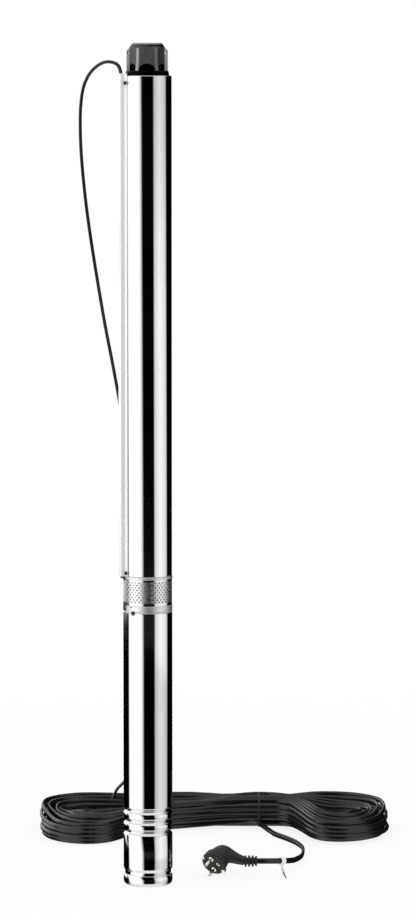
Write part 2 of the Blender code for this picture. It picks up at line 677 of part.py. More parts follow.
def intake_screen():
    """A perforated strip bent round the intake, open where the lead climbs to the guard."""
    bottom, top = WINDOW_BOTTOM + SEAT, WINDOW_TOP - SEAT
    start = GUARD_AZIMUTH + SCREEN_GAP_ANGLE
    span = 360.0 - 2 * SCREEN_GAP_ANGLE
    cell_angle = span / HOLE_COLUMNS
    cell_height = (top - bottom) / HOLE_ROWS
    hole_angle = math.degrees(HOLE_RADIUS / SCREEN_RADIUS)
    bm = bmesh.new()

    def corner(angle, height):
        turn = math.radians(angle)
        return bm.verts.new((SCREEN_RADIUS * math.cos(turn), SCREEN_RADIUS * math.sin(turn), height))

    for row in range(HOLE_ROWS):
        for column in range(HOLE_COLUMNS):
            left = start + column * cell_angle
            low = bottom + row * cell_height
            centre, middle = left + cell_angle / 2, low + cell_height / 2
            hole = []
            for side in range(HOLE_SIDES):
                turn = 2 * math.pi * side / HOLE_SIDES
                hole.append(corner(centre + hole_angle * math.cos(turn), middle + HOLE_RADIUS * math.sin(turn)))
            right, high = left + cell_angle, low + cell_height
            rim = [corner(right, middle), corner(right, high), corner(left, high)]
            rim += [corner(left, middle), corner(left, low), corner(right, low)]
            for side in range(HOLE_SIDES):
                after = (side + 1) % HOLE_SIDES
                bm.faces.new((rim[side], rim[after], hole[after], hole[side]))
    bmesh.ops.remove_doubles(bm, verts=bm.verts, dist=0.00001)
    screen = from_bmesh("intake_screen", bm, STEEL)
    wall = screen.modifiers.new("wall", "SOLIDIFY")
    wall.thickness = SCREEN_WALL
    wall.offset = -1.0


def couplings():
    top = STACK_BOTTOM - SEAT
    bore = SHAFT_STUB_RADIUS + RUNNING
    outline = [(COUPLING_RADIUS, top), (COUPLING_RADIUS, COUPLING_BOTTOM), (bore, COUPLING_BOTTOM), (bore, top)]
    coupling = turned("shaft_coupling", outline, STEEL)
    cut(coupling, hex_cutter("coupling_socket", MOTOR_SHAFT_TOP + SEAT, top + SHAFT_END_GAP))
    plate("pump_shaft", [hexagon(HEX_ACROSS_FLATS)], PUMP_SHAFT_BOTTOM, PUMP_SHAFT_TOP, STEEL)


# Stages
def blade_mesh(bm, bottom, rise, roots, tips, start, wrap, thickness, segments=2):
    """One curved blade, lofted from section to section as it climbs and turns round the hub."""
    rings = []
    for step in range(segments + 1):
        share = step / segments
        height = bottom + rise * share
        angle = math.radians(start + wrap * share * (2 - share) * 0.5 + wrap * share * 0.5)
        root = roots[0] + (roots[1] - roots[0]) * share
        tip = tips[0] + (tips[1] - tips[0]) * share
        ring = []
        for radius, side in ((root, 1), (root, -1), (tip, -1), (tip, 1)):
            turn = angle + side * thickness / 2 / radius
            ring.append(bm.verts.new((radius * math.cos(turn), radius * math.sin(turn), height)))
        rings.append(ring)
    for low, high in zip(rings, rings[1:]):
        for i in range(4):
            j = (i + 1) % 4
            bm.faces.new((low[i], low[j], high[j], high[i]))
    bm.faces.new(rings[0][::-1])
    bm.faces.new(rings[-1])


def impellers(node, bottom):
    """Two semi-open mixed-flow impellers on one hub."""
    top = bottom + NODE_PITCH - SEAT
    bore = HEX_ACROSS_FLATS / 2
    outline = [(HUB_RADIUS, top)]
    blades = bmesh.new()
    tip = FIT_RADIUS - BOWL_WALL - IMPELLER_TIP_CLEARANCE
    for stage in reversed(range(STAGES_PER_NODE)):
        low = bottom + stage * STAGE_PITCH + IMPELLER_LIFT
        high = low + IMPELLER_RISE
        rim = IMPELLER_RISE * 0.08
        outline += [(HUB_RADIUS, high), (IMPELLER_OUTLET_HUB, high), (IMPELLER_INLET_HUB, low), (HUB_RADIUS, low)]
        for blade in range(BLADES):
            blade_mesh(blades, low + rim, IMPELLER_RISE - 2.5 * rim,
                       (HUB_RADIUS * 1.05, IMPELLER_OUTLET_HUB * 0.90), (tip * 0.82, tip),
                       360.0 * blade / BLADES + 17.0 * stage, BLADE_WRAP, BLADE_THICKNESS)
    outline += [(HUB_RADIUS, bottom), (bore, bottom), (bore, top)]
    bmesh.ops.triangulate(blades, faces=blades.faces)
    hub = turned(f"impellers_{node + 1}", outline, STAGE_PLASTIC, HIDDEN_STEPS)
    join(hub, from_bmesh(f"blades_{node + 1}", blades, None, CUTTERS))
    cut(hub, hex_cutter(f"impeller_bore_{node + 1}", bottom - SHAFT_END_GAP, top + SHAFT_END_GAP))


def bowls(node, bottom):
    """Two bowls in one tube, each with its diffuser hub and guide vanes."""
    top = bottom + NODE_PITCH - SEAT
    inner = FIT_RADIUS - BOWL_WALL
    outline = [(FIT_RADIUS, top), (FIT_RADIUS, bottom), (inner, bottom), (inner, top)]
    bowl = turned(f"bowls_{node + 1}", outline, STAGE_PLASTIC, HIDDEN_STEPS)
    vanes = bmesh.new()
    bore = HUB_RADIUS + HUB_CLEARANCE
    anchor = inner + BOWL_WALL * 0.15
    for stage in range(STAGES_PER_NODE):
        low = bottom + stage * STAGE_PITCH + DIFFUSER_LIFT
        high = low + DIFFUSER_RISE
        cone = [(DIFFUSER_UPPER, high), (DIFFUSER_LOWER, low), (bore, low), (bore, high)]
        hub = turned(f"diffuser_{node + 1}_{stage + 1}", cone, None, HIDDEN_STEPS, CUTTERS)
        join(bowl, hub)
        edge = DIFFUSER_RISE * 0.08
        for vane in range(VANES):
            blade_mesh(vanes, low + edge, DIFFUSER_RISE - 2 * edge,
                       (DIFFUSER_LOWER * 0.86, DIFFUSER_UPPER * 0.86), (anchor, anchor),
                       360.0 * vane / VANES + 30.0, VANE_WRAP, VANE_THICKNESS)
    bmesh.ops.triangulate(vanes, faces=vanes.faces)
    join(bowl, from_bmesh(f"vanes_{node + 1}", vanes, None, CUTTERS))


# Upper bearing, lock nut and check valve
def spokes(name, count, inner, outer, width, bottom, top):
    bm = bmesh.new()
    for arm in range(count):
        add_box(bm, (inner, -width / 2, bottom), (outer, width / 2, top), around(360.0 * arm / count + 45.0))
    return from_bmesh(name, bm, None, CUTTERS)


def top_bearing():
    inner = FIT_RADIUS - SPIDER_WALL
    outline = [(FIT_RADIUS, SPIDER_TOP), (FIT_RADIUS, SPIDER_BOTTOM), (inner, SPIDER_BOTTOM), (inner, SPIDER_TOP)]
    spider = turned("top_bearing_spider", outline, BRUSHED, HIDDEN_STEPS)
    bore = BUSH_RADIUS + SEAT
    outline = [(SPIDER_HUB, SPIDER_TOP), (SPIDER_HUB, SPIDER_BOTTOM), (bore, SPIDER_BOTTOM), (bore, SPIDER_TOP)]
    join(spider, turned("spider_hub", outline, None, INNER_STEPS, CUTTERS))
    arm = SPIDER_HEIGHT * 0.12
    join(spider, spokes("spider_arms", 4, (bore + SPIDER_HUB) / 2 + SEAT, FIT_RADIUS - SPIDER_WALL / 2, SPIDER_WALL,
                        SPIDER_BOTTOM + arm, SPIDER_TOP - arm))
    bore = SLEEVE_RADIUS + RUNNING + SEAT / 3
    outline = [(BUSH_RADIUS, SPIDER_TOP), (BUSH_RADIUS, SPIDER_BOTTOM), (bore, SPIDER_BOTTOM), (bore, SPIDER_TOP)]
    turned("top_bearing_bush", outline, BLACK_RUBBER)

    bore = HEX_ACROSS_FLATS / 2
    outline = [(SLEEVE_RADIUS, SLEEVE_TOP), (SLEEVE_RADIUS, STACK_TOP), (bore, STACK_TOP), (bore, SLEEVE_TOP)]
    sleeve = turned("shaft_sleeve", outline, STEEL)
    cut(sleeve, hex_cutter("sleeve_bore", STACK_TOP - SHAFT_END_GAP, SLEEVE_TOP + SHAFT_END_GAP))
    opening = ring_points(HEX_ACROSS_FLATS / math.sqrt(3.0) + 2 * RUNNING, INNER_STEPS)
    plate("impeller_lock_nut", [hexagon(NUT_ACROSS_FLATS), opening], NUT_BOTTOM, NUT_BOTTOM + NUT_HEIGHT, STEEL)


def check_valve():
    chamfer = VALVE_SEAT_HEIGHT * 0.12
    outline = [(FIT_RADIUS, VALVE_TOP), (FIT_RADIUS, VALVE_BOTTOM), (VALVE_BORE + chamfer, VALVE_BOTTOM)]
    outline += [(VALVE_BORE, VALVE_BOTTOM + chamfer), (VALVE_BORE, VALVE_TOP)]
    turned("valve_seat", outline, BRASS, HIDDEN_STEPS)

    disc_top = POPPET_BOTTOM + POPPET_THICKNESS
    arm_bottom = CAGE_TOP - GUIDE_ARM
    stem_top = CAGE_TOP + STEM_PROUD
    outline = [(0.0, stem_top), (STEM_RADIUS, stem_top), (STEM_RADIUS, disc_top), (POPPET_RADIUS, disc_top)]
    turned("valve_poppet", outline + [(POPPET_RADIUS, POPPET_BOTTOM), (0.0, POPPET_BOTTOM)], BLACK_RUBBER)

    inner = FIT_RADIUS - CAGE_WALL
    outline = [(FIT_RADIUS, CAGE_TOP), (FIT_RADIUS, POPPET_BOTTOM), (inner, POPPET_BOTTOM), (inner, CAGE_TOP)]
    cage = turned("valve_guide", outline, BRASS, HIDDEN_STEPS)
    bore = STEM_RADIUS + VALVE_PLAY
    bottom = CAGE_TOP - GUIDE_LENGTH
    outline = [(GUIDE_RADIUS, CAGE_TOP), (GUIDE_RADIUS, bottom), (bore, bottom), (bore, CAGE_TOP)]
    join(cage, turned("guide_hub", outline, None, INNER_STEPS, CUTTERS))
    join(cage, spokes("guide_arms", 4, (bore + GUIDE_RADIUS) / 2 + SEAT, FIT_RADIUS - CAGE_WALL / 2, GUIDE_ARM,
                      arm_bottom, CAGE_TOP - SEAT))

    low, high = disc_top + SEAT + SPRING_WIRE, arm_bottom - SEAT - SPRING_WIRE
    steps = SPRING_TURNS * 7
    points = []
    for step in range(steps + 1):
        turn = 2 * math.pi * SPRING_TURNS * step / steps
        height = low + (high - low) * step / steps
        points.append((SPRING_RADIUS * math.cos(turn), SPRING_RADIUS * math.sin(turn), height))
    smooth(tube("valve_spring", points, SPRING_WIRE, STEEL, 2), 60.0)


# Discharge head
def discharge_head(screw_holes):
    spigot_bottom = CAGE_TOP + SEAT
    outline = [(HEAD_FLANGE_RADIUS, HEAD_FLANGE_TOP), (HEAD_FLANGE_RADIUS * 1.03, HEAD_BOTTOM)]
    outline += [(FIT_RADIUS, HEAD_BOTTOM), (FIT_RADIUS, spigot_bottom), (0.0, spigot_bottom)]
    base = turned("discharge_head", [(0.0, HEAD_FLANGE_TOP)] + outline, CASTING, OUTER_STEPS)

    octagon = [(HEAD_CORNER_RADIUS * math.cos(math.radians(22.5 + 45 * i)),
                HEAD_CORNER_RADIUS * math.sin(math.radians(22.5 + 45 * i))) for i in range(8)]
    body = plate("head_octagon", [octagon], HEAD_FLANGE_TOP - HEAD_FLANGE / 2, HEAD_TOP, None, CUTTERS)
    shoulder = HEAD_TOP - HEAD_CHAMFER
    outline = [(0.0, HEAD_TOP), (HEAD_RIM_RADIUS, HEAD_TOP), (HEAD_CORNER_RADIUS * 1.02, shoulder)]
    outline += [(HEAD_CORNER_RADIUS * 1.02, HEAD_BOTTOM), (0.0, HEAD_BOTTOM)]
    envelope = turned("head_envelope", outline, None, OUTER_STEPS, CUTTERS)
    body = settled(boolean(body, envelope, "INTERSECT"))

    ears = bmesh.new()
    apothem = HEAD_CORNER_RADIUS * math.cos(math.pi / 8)
    for turn in (0.0, 180.0):
        add_box(ears, (apothem - ARCH_DEPTH, -EAR_WIDTH / 2, HEAD_FLANGE_TOP - HEAD_FLANGE / 2),
                (EAR_REACH, EAR_WIDTH / 2, HEAD_FLANGE_TOP + EAR_HEIGHT), around(turn))
    ears = from_bmesh("head_ears", ears, None, CUTTERS)

    arches = bmesh.new()
    for facet in range(8):
        add_cylinder(arches, ARCH_RADIUS, (apothem - ARCH_DEPTH, 0.0, HEAD_FLANGE_TOP + ARCH_CENTRE),
                     (HEAD_CORNER_RADIUS * 1.2, 0.0, HEAD_FLANGE_TOP + ARCH_CENTRE), 10, around(45.0 * facet))
    arches = from_bmesh("head_arches", arches, None, CUTTERS)
    body = settled(cut(body, arches))

    funnel = spigot_bottom + FUNNEL_HEIGHT
    mouth = FIT_RADIUS - CAGE_WALL
    past = HEAD_TOP + HEAD_CHAMFER
    outline = [(0.0, past), (SOCKET_RADIUS, past), (SOCKET_RADIUS, funnel), (mouth, spigot_bottom)]
    outline += [(mouth, spigot_bottom - SEAT), (0.0, spigot_bottom - SEAT)]
    bore = turned("head_bore", outline, None, OUTER_STEPS, CUTTERS)

    eyes = bmesh.new()
    for side in (-1, 1):
        place = side * EYE_OFFSET
        add_cylinder(eyes, EYE_DIAMETER / 2, (place, -HEAD_CORNER_RADIUS, HEAD_FLANGE_TOP + EYE_HEIGHT),
                     (place, HEAD_CORNER_RADIUS, HEAD_FLANGE_TOP + EYE_HEIGHT), 12)
    eyes = from_bmesh("head_eyes", eyes, None, CUTTERS)

    join(base, body)
    join(base, ears)
    cut(base, bore)
    cut(base, eyes)
    cut(base, screw_holes)


# Pump shell, cable guard and lead
def pump_shell(screw_holes):
    inner = SHELL_RADIUS - SHELL_WALL
    outline = [(SHELL_RADIUS, SHELL_TOP), (SHELL_RADIUS, SHELL_BOTTOM), (inner, SHELL_BOTTOM), (inner, SHELL_TOP)]
    cut(turned("pump_shell", outline, STEEL, OUTER_STEPS), screw_holes)


def polar(radius, angle_degrees):
    turn = math.radians(GUARD_AZIMUTH + angle_degrees)
    return radius * math.cos(turn), radius * math.sin(turn)


def channel_point(radial, sideways):
    turn = math.radians(GUARD_AZIMUTH)
    return (radial * math.cos(turn) - sideways * math.sin(turn), radial * math.sin(turn) + sideways * math.cos(turn))


def cable_guard(screw_holes):
    """A hat channel: two flanges that follow the shell, and a square channel over the lead."""
    low = SHELL_RADIUS + SEAT
    high = low + GUARD_WALL
    half = GUARD_CHANNEL / 2
    bend = math.degrees(math.asin(half / low))
    inner_bend = math.degrees(math.asin((half - GUARD_WALL) / low))
    steps = 3
    flange = [GUARD_FLANGE_ANGLE + (bend - GUARD_FLANGE_ANGLE) * i / steps for i in range(steps + 1)]
    outside = [polar(high, angle) for angle in flange[:-1]]
    outside += [channel_point(math.sqrt(high ** 2 - half ** 2), half)]
    outside += [channel_point(GUARD_REACH - GUARD_WALL, half), channel_point(GUARD_REACH, half - GUARD_WALL)]
    outside += [channel_point(GUARD_REACH, -half + GUARD_WALL), channel_point(GUARD_REACH - GUARD_WALL, -half)]
    outside += [channel_point(math.sqrt(high ** 2 - half ** 2), -half)]
    outside += [polar(high, -angle) for angle in reversed(flange[:-1])]
    inside = [polar(low, -angle) for angle in flange[:-1]] + [polar(low, -inner_bend)]
    inside += [channel_point(GUARD_REACH - GUARD_WALL, -half + GUARD_WALL)]
    inside += [channel_point(GUARD_REACH - GUARD_WALL, half - GUARD_WALL), polar(low, inner_bend)]
    inside += [polar(low, angle) for angle in reversed(flange[:-1])]
    guard = plate("cable_guard", [outside + inside], GUARD_BOTTOM, GUARD_TOP, STEEL)
    cut(guard, screw_holes)


def screw_places():
    """The two guard screws: name, direction outwards and height."""
    turn = math.radians(GUARD_AZIMUTH + SCREW_ANGLE)
    out = Vector((math.cos(turn), math.sin(turn), 0.0))
    low = GUARD_BOTTOM + LOWER_SCREW_INSET
    high = GUARD_TOP - UPPER_SCREW_INSET
    return (("guard_screw_lower", out, low), ("guard_screw_upper", out, high))


def guard_screws():
    holes = bmesh.new()
    face = SHELL_RADIUS + SEAT + GUARD_WALL + SEAT
    for name, out, height in screw_places():
        up = Vector((0.0, 0.0, height))
        bm = bmesh.new()
        add_cylinder(bm, SCREW_HEAD_RADIUS, out * face + up, out * (face + SCREW_HEAD_HEIGHT) + up, 12)
        screw = from_bmesh(name, bm, IRON)
        bm = bmesh.new()
        add_cylinder(bm, SCREW_RADIUS, out * (face - SCREW_LENGTH) + up, out * (face + SCREW_HEAD_HEIGHT / 2) + up, 8)
        join(screw, from_bmesh(f"{name}_shank", bm, None, CUTTERS))
        add_cylinder(holes, SCREW_RADIUS + SEAT, out * (face - SCREW_LENGTH - SEAT) + up, out * GUARD_REACH + up, 8)
    return from_bmesh("screw_holes", holes, None, CUTTERS)


def lead():
    """The rubber gland in the motor's top face and the flat lead that climbs to the guard's upper end."""
    gland_outer = SCREEN_RADIUS - 2 * SEAT
    gland_inner = gland_outer - GLAND_DEPTH
    gland_top = FLANGE_BOTTOM + GLAND_HEIGHT
    bm = bmesh.new()
    add_box(bm, (gland_inner, -GLAND_WIDTH / 2, FLANGE_BOTTOM), (gland_outer, GLAND_WIDTH / 2, gland_top),
            around(GUARD_AZIMUTH))
    gland = from_bmesh("lead_gland", bm, BLACK_RUBBER)
    edge = gland.modifiers.new("edge", "BEVEL")
    edge.width = GLAND_DEPTH * 0.12
    edge.segments = 1

    half = LEAD_THICKNESS / 2
    start = gland_outer - half - SEAT
    bend_low = (gland_top + SEAT + WINDOW_TOP) / 2
    path = [(start, gland_top + SEAT), (start, bend_low - half), (start + (LEAD_RADIUS - start) * 0.25, bend_low + half)]
    path += [(LEAD_RADIUS - half / 4, WINDOW_TOP - SEAT), (LEAD_RADIUS, LIP_TOP), (LEAD_RADIUS, GUARD_TOP)]
    left, right = [], []
    for index, (radius, height) in enumerate(path):
        before, after = path[max(index - 1, 0)], path[min(index + 1, len(path) - 1)]
        along = Vector((after[0] - before[0], after[1] - before[1])).normalized()
        left.append((radius - along.y * half, height + along.x * half))
        right.append((radius + along.y * half, height - along.x * half))
    strip = plate("motor_lead", [left + right[::-1]], -LEAD_WIDTH / 2, LEAD_WIDTH / 2, BLACK_RUBBER)
    stand = around(GUARD_AZIMUTH) @ Matrix.Rotation(math.pi / 2, 4, "X")
    strip.matrix_world = stand @ strip.matrix_world


# Free cable
def smooth_route(places, spacing, closed=False, dense=0.0):
    """Points along a smooth curve through the given places, three times closer over the first dense stretch."""
    count = len(places)
    fine = []
    spans = count if closed else count - 1
    for span in range(spans):
        ends = []
        for offset in (-1, 0, 1, 2):
            index = (span + offset) % count if closed else min(max(span + offset, 0), count - 1)
            ends.append(Vector(places[index]))
        a, b, c, d = ends
        for step in range(12):
            t = step / 12
            fine.append(0.5 * (2 * b + (c - a) * t + (2 * a - 5 * b + 4 * c - d) * t ** 2
                               + (3 * b - a - 3 * c + d) * t ** 3))
    fine.append(Vector(places[0 if closed else -1]))
    lengths = [0.0]
    for before, after in zip(fine, fine[1:]):
        lengths.append(lengths[-1] + (after - before).length)
    goals = [spacing / 3 * step for step in range(round(3 * dense / spacing))]
    done = spacing / 3 * len(goals)
    wanted = max(2, round((lengths[-1] - done) / spacing))
    goals += [done + (lengths[-1] - done) * step / wanted for step in range(wanted + (0 if closed else 1))]
    points, at = [], 0
    for goal in goals:
        while at < len(fine) - 2 and lengths[at + 1] < goal:
            at += 1
        run = lengths[at + 1] - lengths[at]
        points.append(fine[at].lerp(fine[at + 1], (goal - lengths[at]) / run))
    return points


# Places on the cable's route, chosen by eye from the picture
HANK_OUTLINE = ((-0.181, 0.455), (-0.166, 0.392), (-0.138, 0.352), (-0.100, 0.338), (-0.066, 0.358),
                (-0.035, 0.411), (0.000, 0.444), (0.050, 0.470), (0.110, 0.485), (0.176, 0.490),
                (0.212, 0.468), (0.238, 0.405), (0.262, 0.354), (0.295, 0.338), (0.335, 0.350),
                (0.368, 0.388), (0.385, 0.440), (0.376, 0.500), (0.345, 0.548), (0.296, 0.568),
                (0.230, 0.562), (0.176, 0.556), (0.110, 0.561), (0.000, 0.569), (-0.100, 0.572),
                (-0.148, 0.552), (-0.174, 0.508))
LEFT_EYE = ((-0.150, 0.458), (-0.136, 0.402), (-0.100, 0.372), (-0.072, 0.392), (-0.045, 0.448),
            (0.010, 0.500), (-0.040, 0.530), (-0.100, 0.540), (-0.138, 0.512))
RIGHT_EYE = ((0.354, 0.445), (0.336, 0.396), (0.296, 0.372), (0.272, 0.395), (0.256, 0.450),
             (0.230, 0.512), (0.262, 0.530), (0.300, 0.536), (0.340, 0.505))
RISER_ROUTE = ((-0.0467, -0.0100, 1.2528), (-0.0583, -0.0070, 1.2567), (-0.0699, -0.0040, 1.2539),
               (-0.0816, -0.0010, 1.2453), (-0.0904, 0.0020, 1.2335), (-0.0972, 0.0050, 1.2164),
               (-0.1017, 0.0100, 1.1744), (-0.1011, 0.0160, 1.1279), (-0.0971, 0.0250, 1.0732),
               (-0.0906, 0.0350, 1.0150), (-0.0805, 0.0520, 0.9439), (-0.0673, 0.0800, 0.8594),
               (-0.0554, 0.1150, 0.7908), (-0.0440, 0.1550, 0.7200), (-0.0290, 0.2250, 0.5900),
               (-0.0210, 0.3050, 0.4300), (-0.0200, 0.3800, 0.2700), (-0.0290, 0.4400, 0.1500),
               (-0.0420, 0.4780, 0.0850), (-0.0540, 0.5080, 0.0660), (-0.0700, 0.5390, 0.0545))
RISER_END = (-0.0920, 0.5560)
TAIL_ROUTE = ((0.1665, 0.4750), (0.1800, 0.4480), (0.1997, 0.4153), (0.2171, 0.3773), (0.2372, 0.3304), (0.2436, 0.2566),
              (0.2405, 0.2050))
TAIL_RISE = ((0.2335, 0.1650, 0.0080), (0.2240, 0.1200, 0.0140), (0.2090, 0.0870, 0.0190))


def hank_bottom():
    return TIE_THICKNESS + SEAT


def hank_top():
    return hank_bottom() + HANK_HEIGHT


def hank_loops():
    """The hank's outline and its two open eyes, from above."""
    loops = []
    for outline in (HANK_OUTLINE, LEFT_EYE, RIGHT_EYE):
        route = smooth_route([(*place, 0.0) for place in outline], HANK_SPACING, True)
        loops.append([tuple(point[:2]) for point in route])
    return loops


def tail_route():
    """The cable from the waist of the hank along the floor and up into the plug's sleeve."""
    low = CORD_DIAMETER / 2 + SEAT
    near = hank_span(TAIL_X, hank_loops()[0])[0]
    sleeve_end = SLEEVE_START + Vector((SLEEVE_LENGTH + SEAT, 0.0, 0.0))
    route = [(TAIL_X, near - 3 * SEAT, low)] + [(x, y, low) for x, y in TAIL_ROUTE]
    route += list(TAIL_RISE) + [tuple(sleeve_end + Vector((0.012, 0.0, 0.0))), tuple(sleeve_end)]
    return smooth_route(route, CORD_SPACING)


def free_cable():
    radius = CORD_DIAMETER / 2
    start = (*channel_point(LEAD_RADIUS, 0.0), GUARD_TOP + 2 * SEAT)
    rise = (*channel_point(LEAD_RADIUS, 0.0), GUARD_TOP + 1.2 * CORD_DIAMETER)
    end = (*RISER_END, hank_top() + SEAT + radius)
    riser = smooth_route((start, rise, *RISER_ROUTE, end), RISER_SPACING, dense=RISER_BEND)
    tube("cord_riser", riser, radius, BLACK_RUBBER, 2)

    plate("cord_hank", hank_loops(), hank_bottom(), hank_top(), BLACK_RUBBER)

    tube("cord_tail", tail_route(), radius, BLACK_RUBBER, 2)


def hank_span(x, loop):
    """Where a line across the hank at x meets its outline."""
    crossings = []
    for (ax, ay), (bx, by) in zip(loop, loop[1:] + loop[:1]):
        if min(ax, bx) <= x < max(ax, bx):
            crossings.append(ay + (by - ay) * (x - ax) / (bx - ax))
    return min(crossings), max(crossings)


def ties():
    sides = [hank_span(TIE_X + half * TIE_WIDTH, hank_loops()[0]) for half in (-0.5, 0.5)]
    near, far = min(side[0] for side in sides), max(side[1] for side in sides)
    band = bmesh.new()
    low, high = 0.0, hank_top() + SEAT + TIE_THICKNESS
    add_box(band, (TIE_X - TIE_WIDTH / 2, near - SEAT - TIE_THICKNESS, low),
            (TIE_X + TIE_WIDTH / 2, far + SEAT + TIE_THICKNESS, high))
    tie = from_bmesh("hank_tie", band, BLACK_PLASTIC)
    opening = bmesh.new()
    add_box(opening, (TIE_X - TIE_WIDTH, near - SEAT, hank_bottom() - SEAT),
            (TIE_X + TIE_WIDTH, far + SEAT, hank_top() + SEAT))
    cut(tie, from_bmesh("hank_tie_opening", opening, None, CUTTERS))

    before, after = tail_route()[-TAIL_TIE_STEPS - 1:][:2]
    bore = CORD_DIAMETER / 2 + SEAT
    outer = bore + TIE_THICKNESS
    outline = [(outer, TIE_WIDTH / 2), (outer, -TIE_WIDTH / 2), (bore, -TIE_WIDTH / 2), (bore, TIE_WIDTH / 2)]
    ring = turned("tail_tie", outline, WHITE_PLASTIC, 12)
    along = (after - before).to_track_quat("Z", "Y").to_matrix().to_4x4()
    ring.matrix_world = Matrix.Translation((before + after) / 2) @ along


# Mains plug
def plug():
    across = Vector((0.0, 0.0, 1.0)) - PLUG_AXIS.z * PLUG_AXIS
    across.normalize()
    back = -PLUG_AXIS
    bm = bmesh.new()
    add_cylinder(bm, PLUG_RADIUS, PLUG_FACE, PLUG_FACE + back * PLUG_DEPTH, INNER_STEPS)
    body = from_bmesh("plug_body", bm, BLACK_RUBBER)
    edge = body.modifiers.new("edge", "BEVEL")
    edge.width = PLUG_DEPTH * 0.12
    edge.segments = 1
    edge.limit_method = "ANGLE"

    core = PLUG_FACE + back * PLUG_DEPTH * 0.7
    knee = core + back * PLUG_DEPTH * 0.9 + Vector((PLUG_DEPTH * 0.3, 0.0, 0.0))
    inside = SLEEVE_START + Vector((SLEEVE_LENGTH * 0.1, 0.0, 0.0))
    places = [core, knee, knee.lerp(inside, 0.55), inside]
    neck = tube("plug_neck", places, PLUG_RADIUS, None, 2, CUTTERS, (0.86, 0.76, 0.50, SLEEVE_CORE / PLUG_RADIUS))
    join(body, neck)

    outline = [(0.0, SLEEVE_LENGTH)]
    rib = SLEEVE_LENGTH / (2 * SLEEVE_RIBS)
    for index in range(SLEEVE_RIBS):
        top = SLEEVE_LENGTH - 2 * rib * index
        outline += [(RIB_RADIUS, top), (RIB_RADIUS, top - rib), (SLEEVE_CORE, top - rib), (SLEEVE_CORE, top - 2 * rib)]
    sleeve = turned("plug_sleeve", outline + [(0.0, 0.0)], None, 10, CUTTERS)
    sleeve.matrix_world = Matrix.Translation(SLEEVE_START) @ Matrix.Rotation(math.pi / 2, 4, "Y")
    join(body, sleeve)

    holes = bmesh.new()
    for name, side in (("plug_pin_upper", 1), ("plug_pin_lower", -1)):
        root = PLUG_FACE + across * side * PIN_PITCH / 2
        bm = bmesh.new()
        add_cylinder(bm, PIN_RADIUS, root + back * PIN_SEAT, root + PLUG_AXIS * PIN_LENGTH, 10)
        from_bmesh(name, bm, STEEL)
        add_cylinder(holes, PIN_RADIUS + SEAT, root + back * (PIN_SEAT + SEAT), root + PLUG_AXIS * PIN_SEAT, 10)
    side = across.cross(PLUG_AXIS)
    root = PLUG_FACE + side * PIN_PITCH / 2
    bm = bmesh.new()
    add_cylinder(bm, EARTH_RADIUS, root + back * PIN_SEAT, root + PLUG_AXIS * SEAT, 10)
    from_bmesh("plug_earth_contact", bm, BRASS)
    add_cylinder(holes, EARTH_RADIUS + SEAT, root + back * (PIN_SEAT + SEAT), root + PLUG_AXIS * PIN_SEAT, 10)
    cut(body, from_bmesh("plug_holes", holes, None, CUTTERS))


def build():
    screw_holes = guard_screws()
    motor_shell()
    motor_end_cap()
    capacitor()
    lower_bearing_bracket()
    bearing("lower", LOWER_BEARING)
    bearing("upper", UPPER_BEARING)
    stator()
    rotor()
    bolts = bolt_holes()
    motor_top_cover(bolts)
    shaft_seal()
    flange_bolts()
    suction_bracket(screw_holes, bolts)
    intake_screen()
    couplings()
    for node in range(STAGE_NODES):
        bottom = STACK_BOTTOM + node * NODE_PITCH
        impellers(node, bottom)
        bowls(node, bottom)
    top_bearing()
    check_valve()
    discharge_head(screw_holes)
    pump_shell(screw_holes)
    cable_guard(screw_holes)
    lead()
    free_cable()
    ties()
    plug()


build()
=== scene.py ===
# %% [markdown]
# # A borehole pump with its coil of cable
#
# The object is a slim pump that hangs in a well. A polished steel tube holds ten pumping stages, a second
# tube below it holds the motor, and a perforated strainer between them lets the water in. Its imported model
# is loaded first. It is in metres, stands on its motor's end cap and looks towards -Y, and every new piece
# is made in the same space, so that nothing has to be fitted afterwards.

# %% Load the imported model
import json
import math

import bmesh
import bpy
from mathutils import Matrix, Vector

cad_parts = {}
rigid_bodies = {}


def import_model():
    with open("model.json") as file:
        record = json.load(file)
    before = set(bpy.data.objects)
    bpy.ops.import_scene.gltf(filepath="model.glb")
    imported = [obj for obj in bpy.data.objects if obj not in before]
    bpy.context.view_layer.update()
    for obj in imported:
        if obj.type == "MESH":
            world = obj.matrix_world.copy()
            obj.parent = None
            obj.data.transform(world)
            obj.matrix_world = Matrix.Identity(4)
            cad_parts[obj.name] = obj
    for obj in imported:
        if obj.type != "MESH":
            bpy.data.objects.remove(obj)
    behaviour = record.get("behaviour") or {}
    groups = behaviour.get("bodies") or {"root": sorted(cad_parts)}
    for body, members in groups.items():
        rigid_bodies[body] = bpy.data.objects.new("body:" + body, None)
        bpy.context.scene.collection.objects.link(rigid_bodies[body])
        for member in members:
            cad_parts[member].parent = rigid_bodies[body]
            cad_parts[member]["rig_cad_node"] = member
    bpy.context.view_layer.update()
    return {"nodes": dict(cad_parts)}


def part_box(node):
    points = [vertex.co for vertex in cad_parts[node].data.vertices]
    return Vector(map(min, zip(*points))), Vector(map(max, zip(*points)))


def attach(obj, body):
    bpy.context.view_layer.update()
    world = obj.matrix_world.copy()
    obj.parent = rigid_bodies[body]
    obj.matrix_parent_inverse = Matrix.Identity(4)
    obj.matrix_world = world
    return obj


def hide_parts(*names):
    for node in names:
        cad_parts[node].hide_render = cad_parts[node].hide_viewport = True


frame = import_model()

# %% [markdown]
# ## Camera
#
# The pump is tall and thin, and its sides stay parallel in the picture, so the camera stands far away with
# a long lens. It looks slightly downwards: the floor behind the pump is then seen as a shallow strip, and
# the coil of cable lies in it. The lens follows from the distance at which the pump's height fills the
# frame.

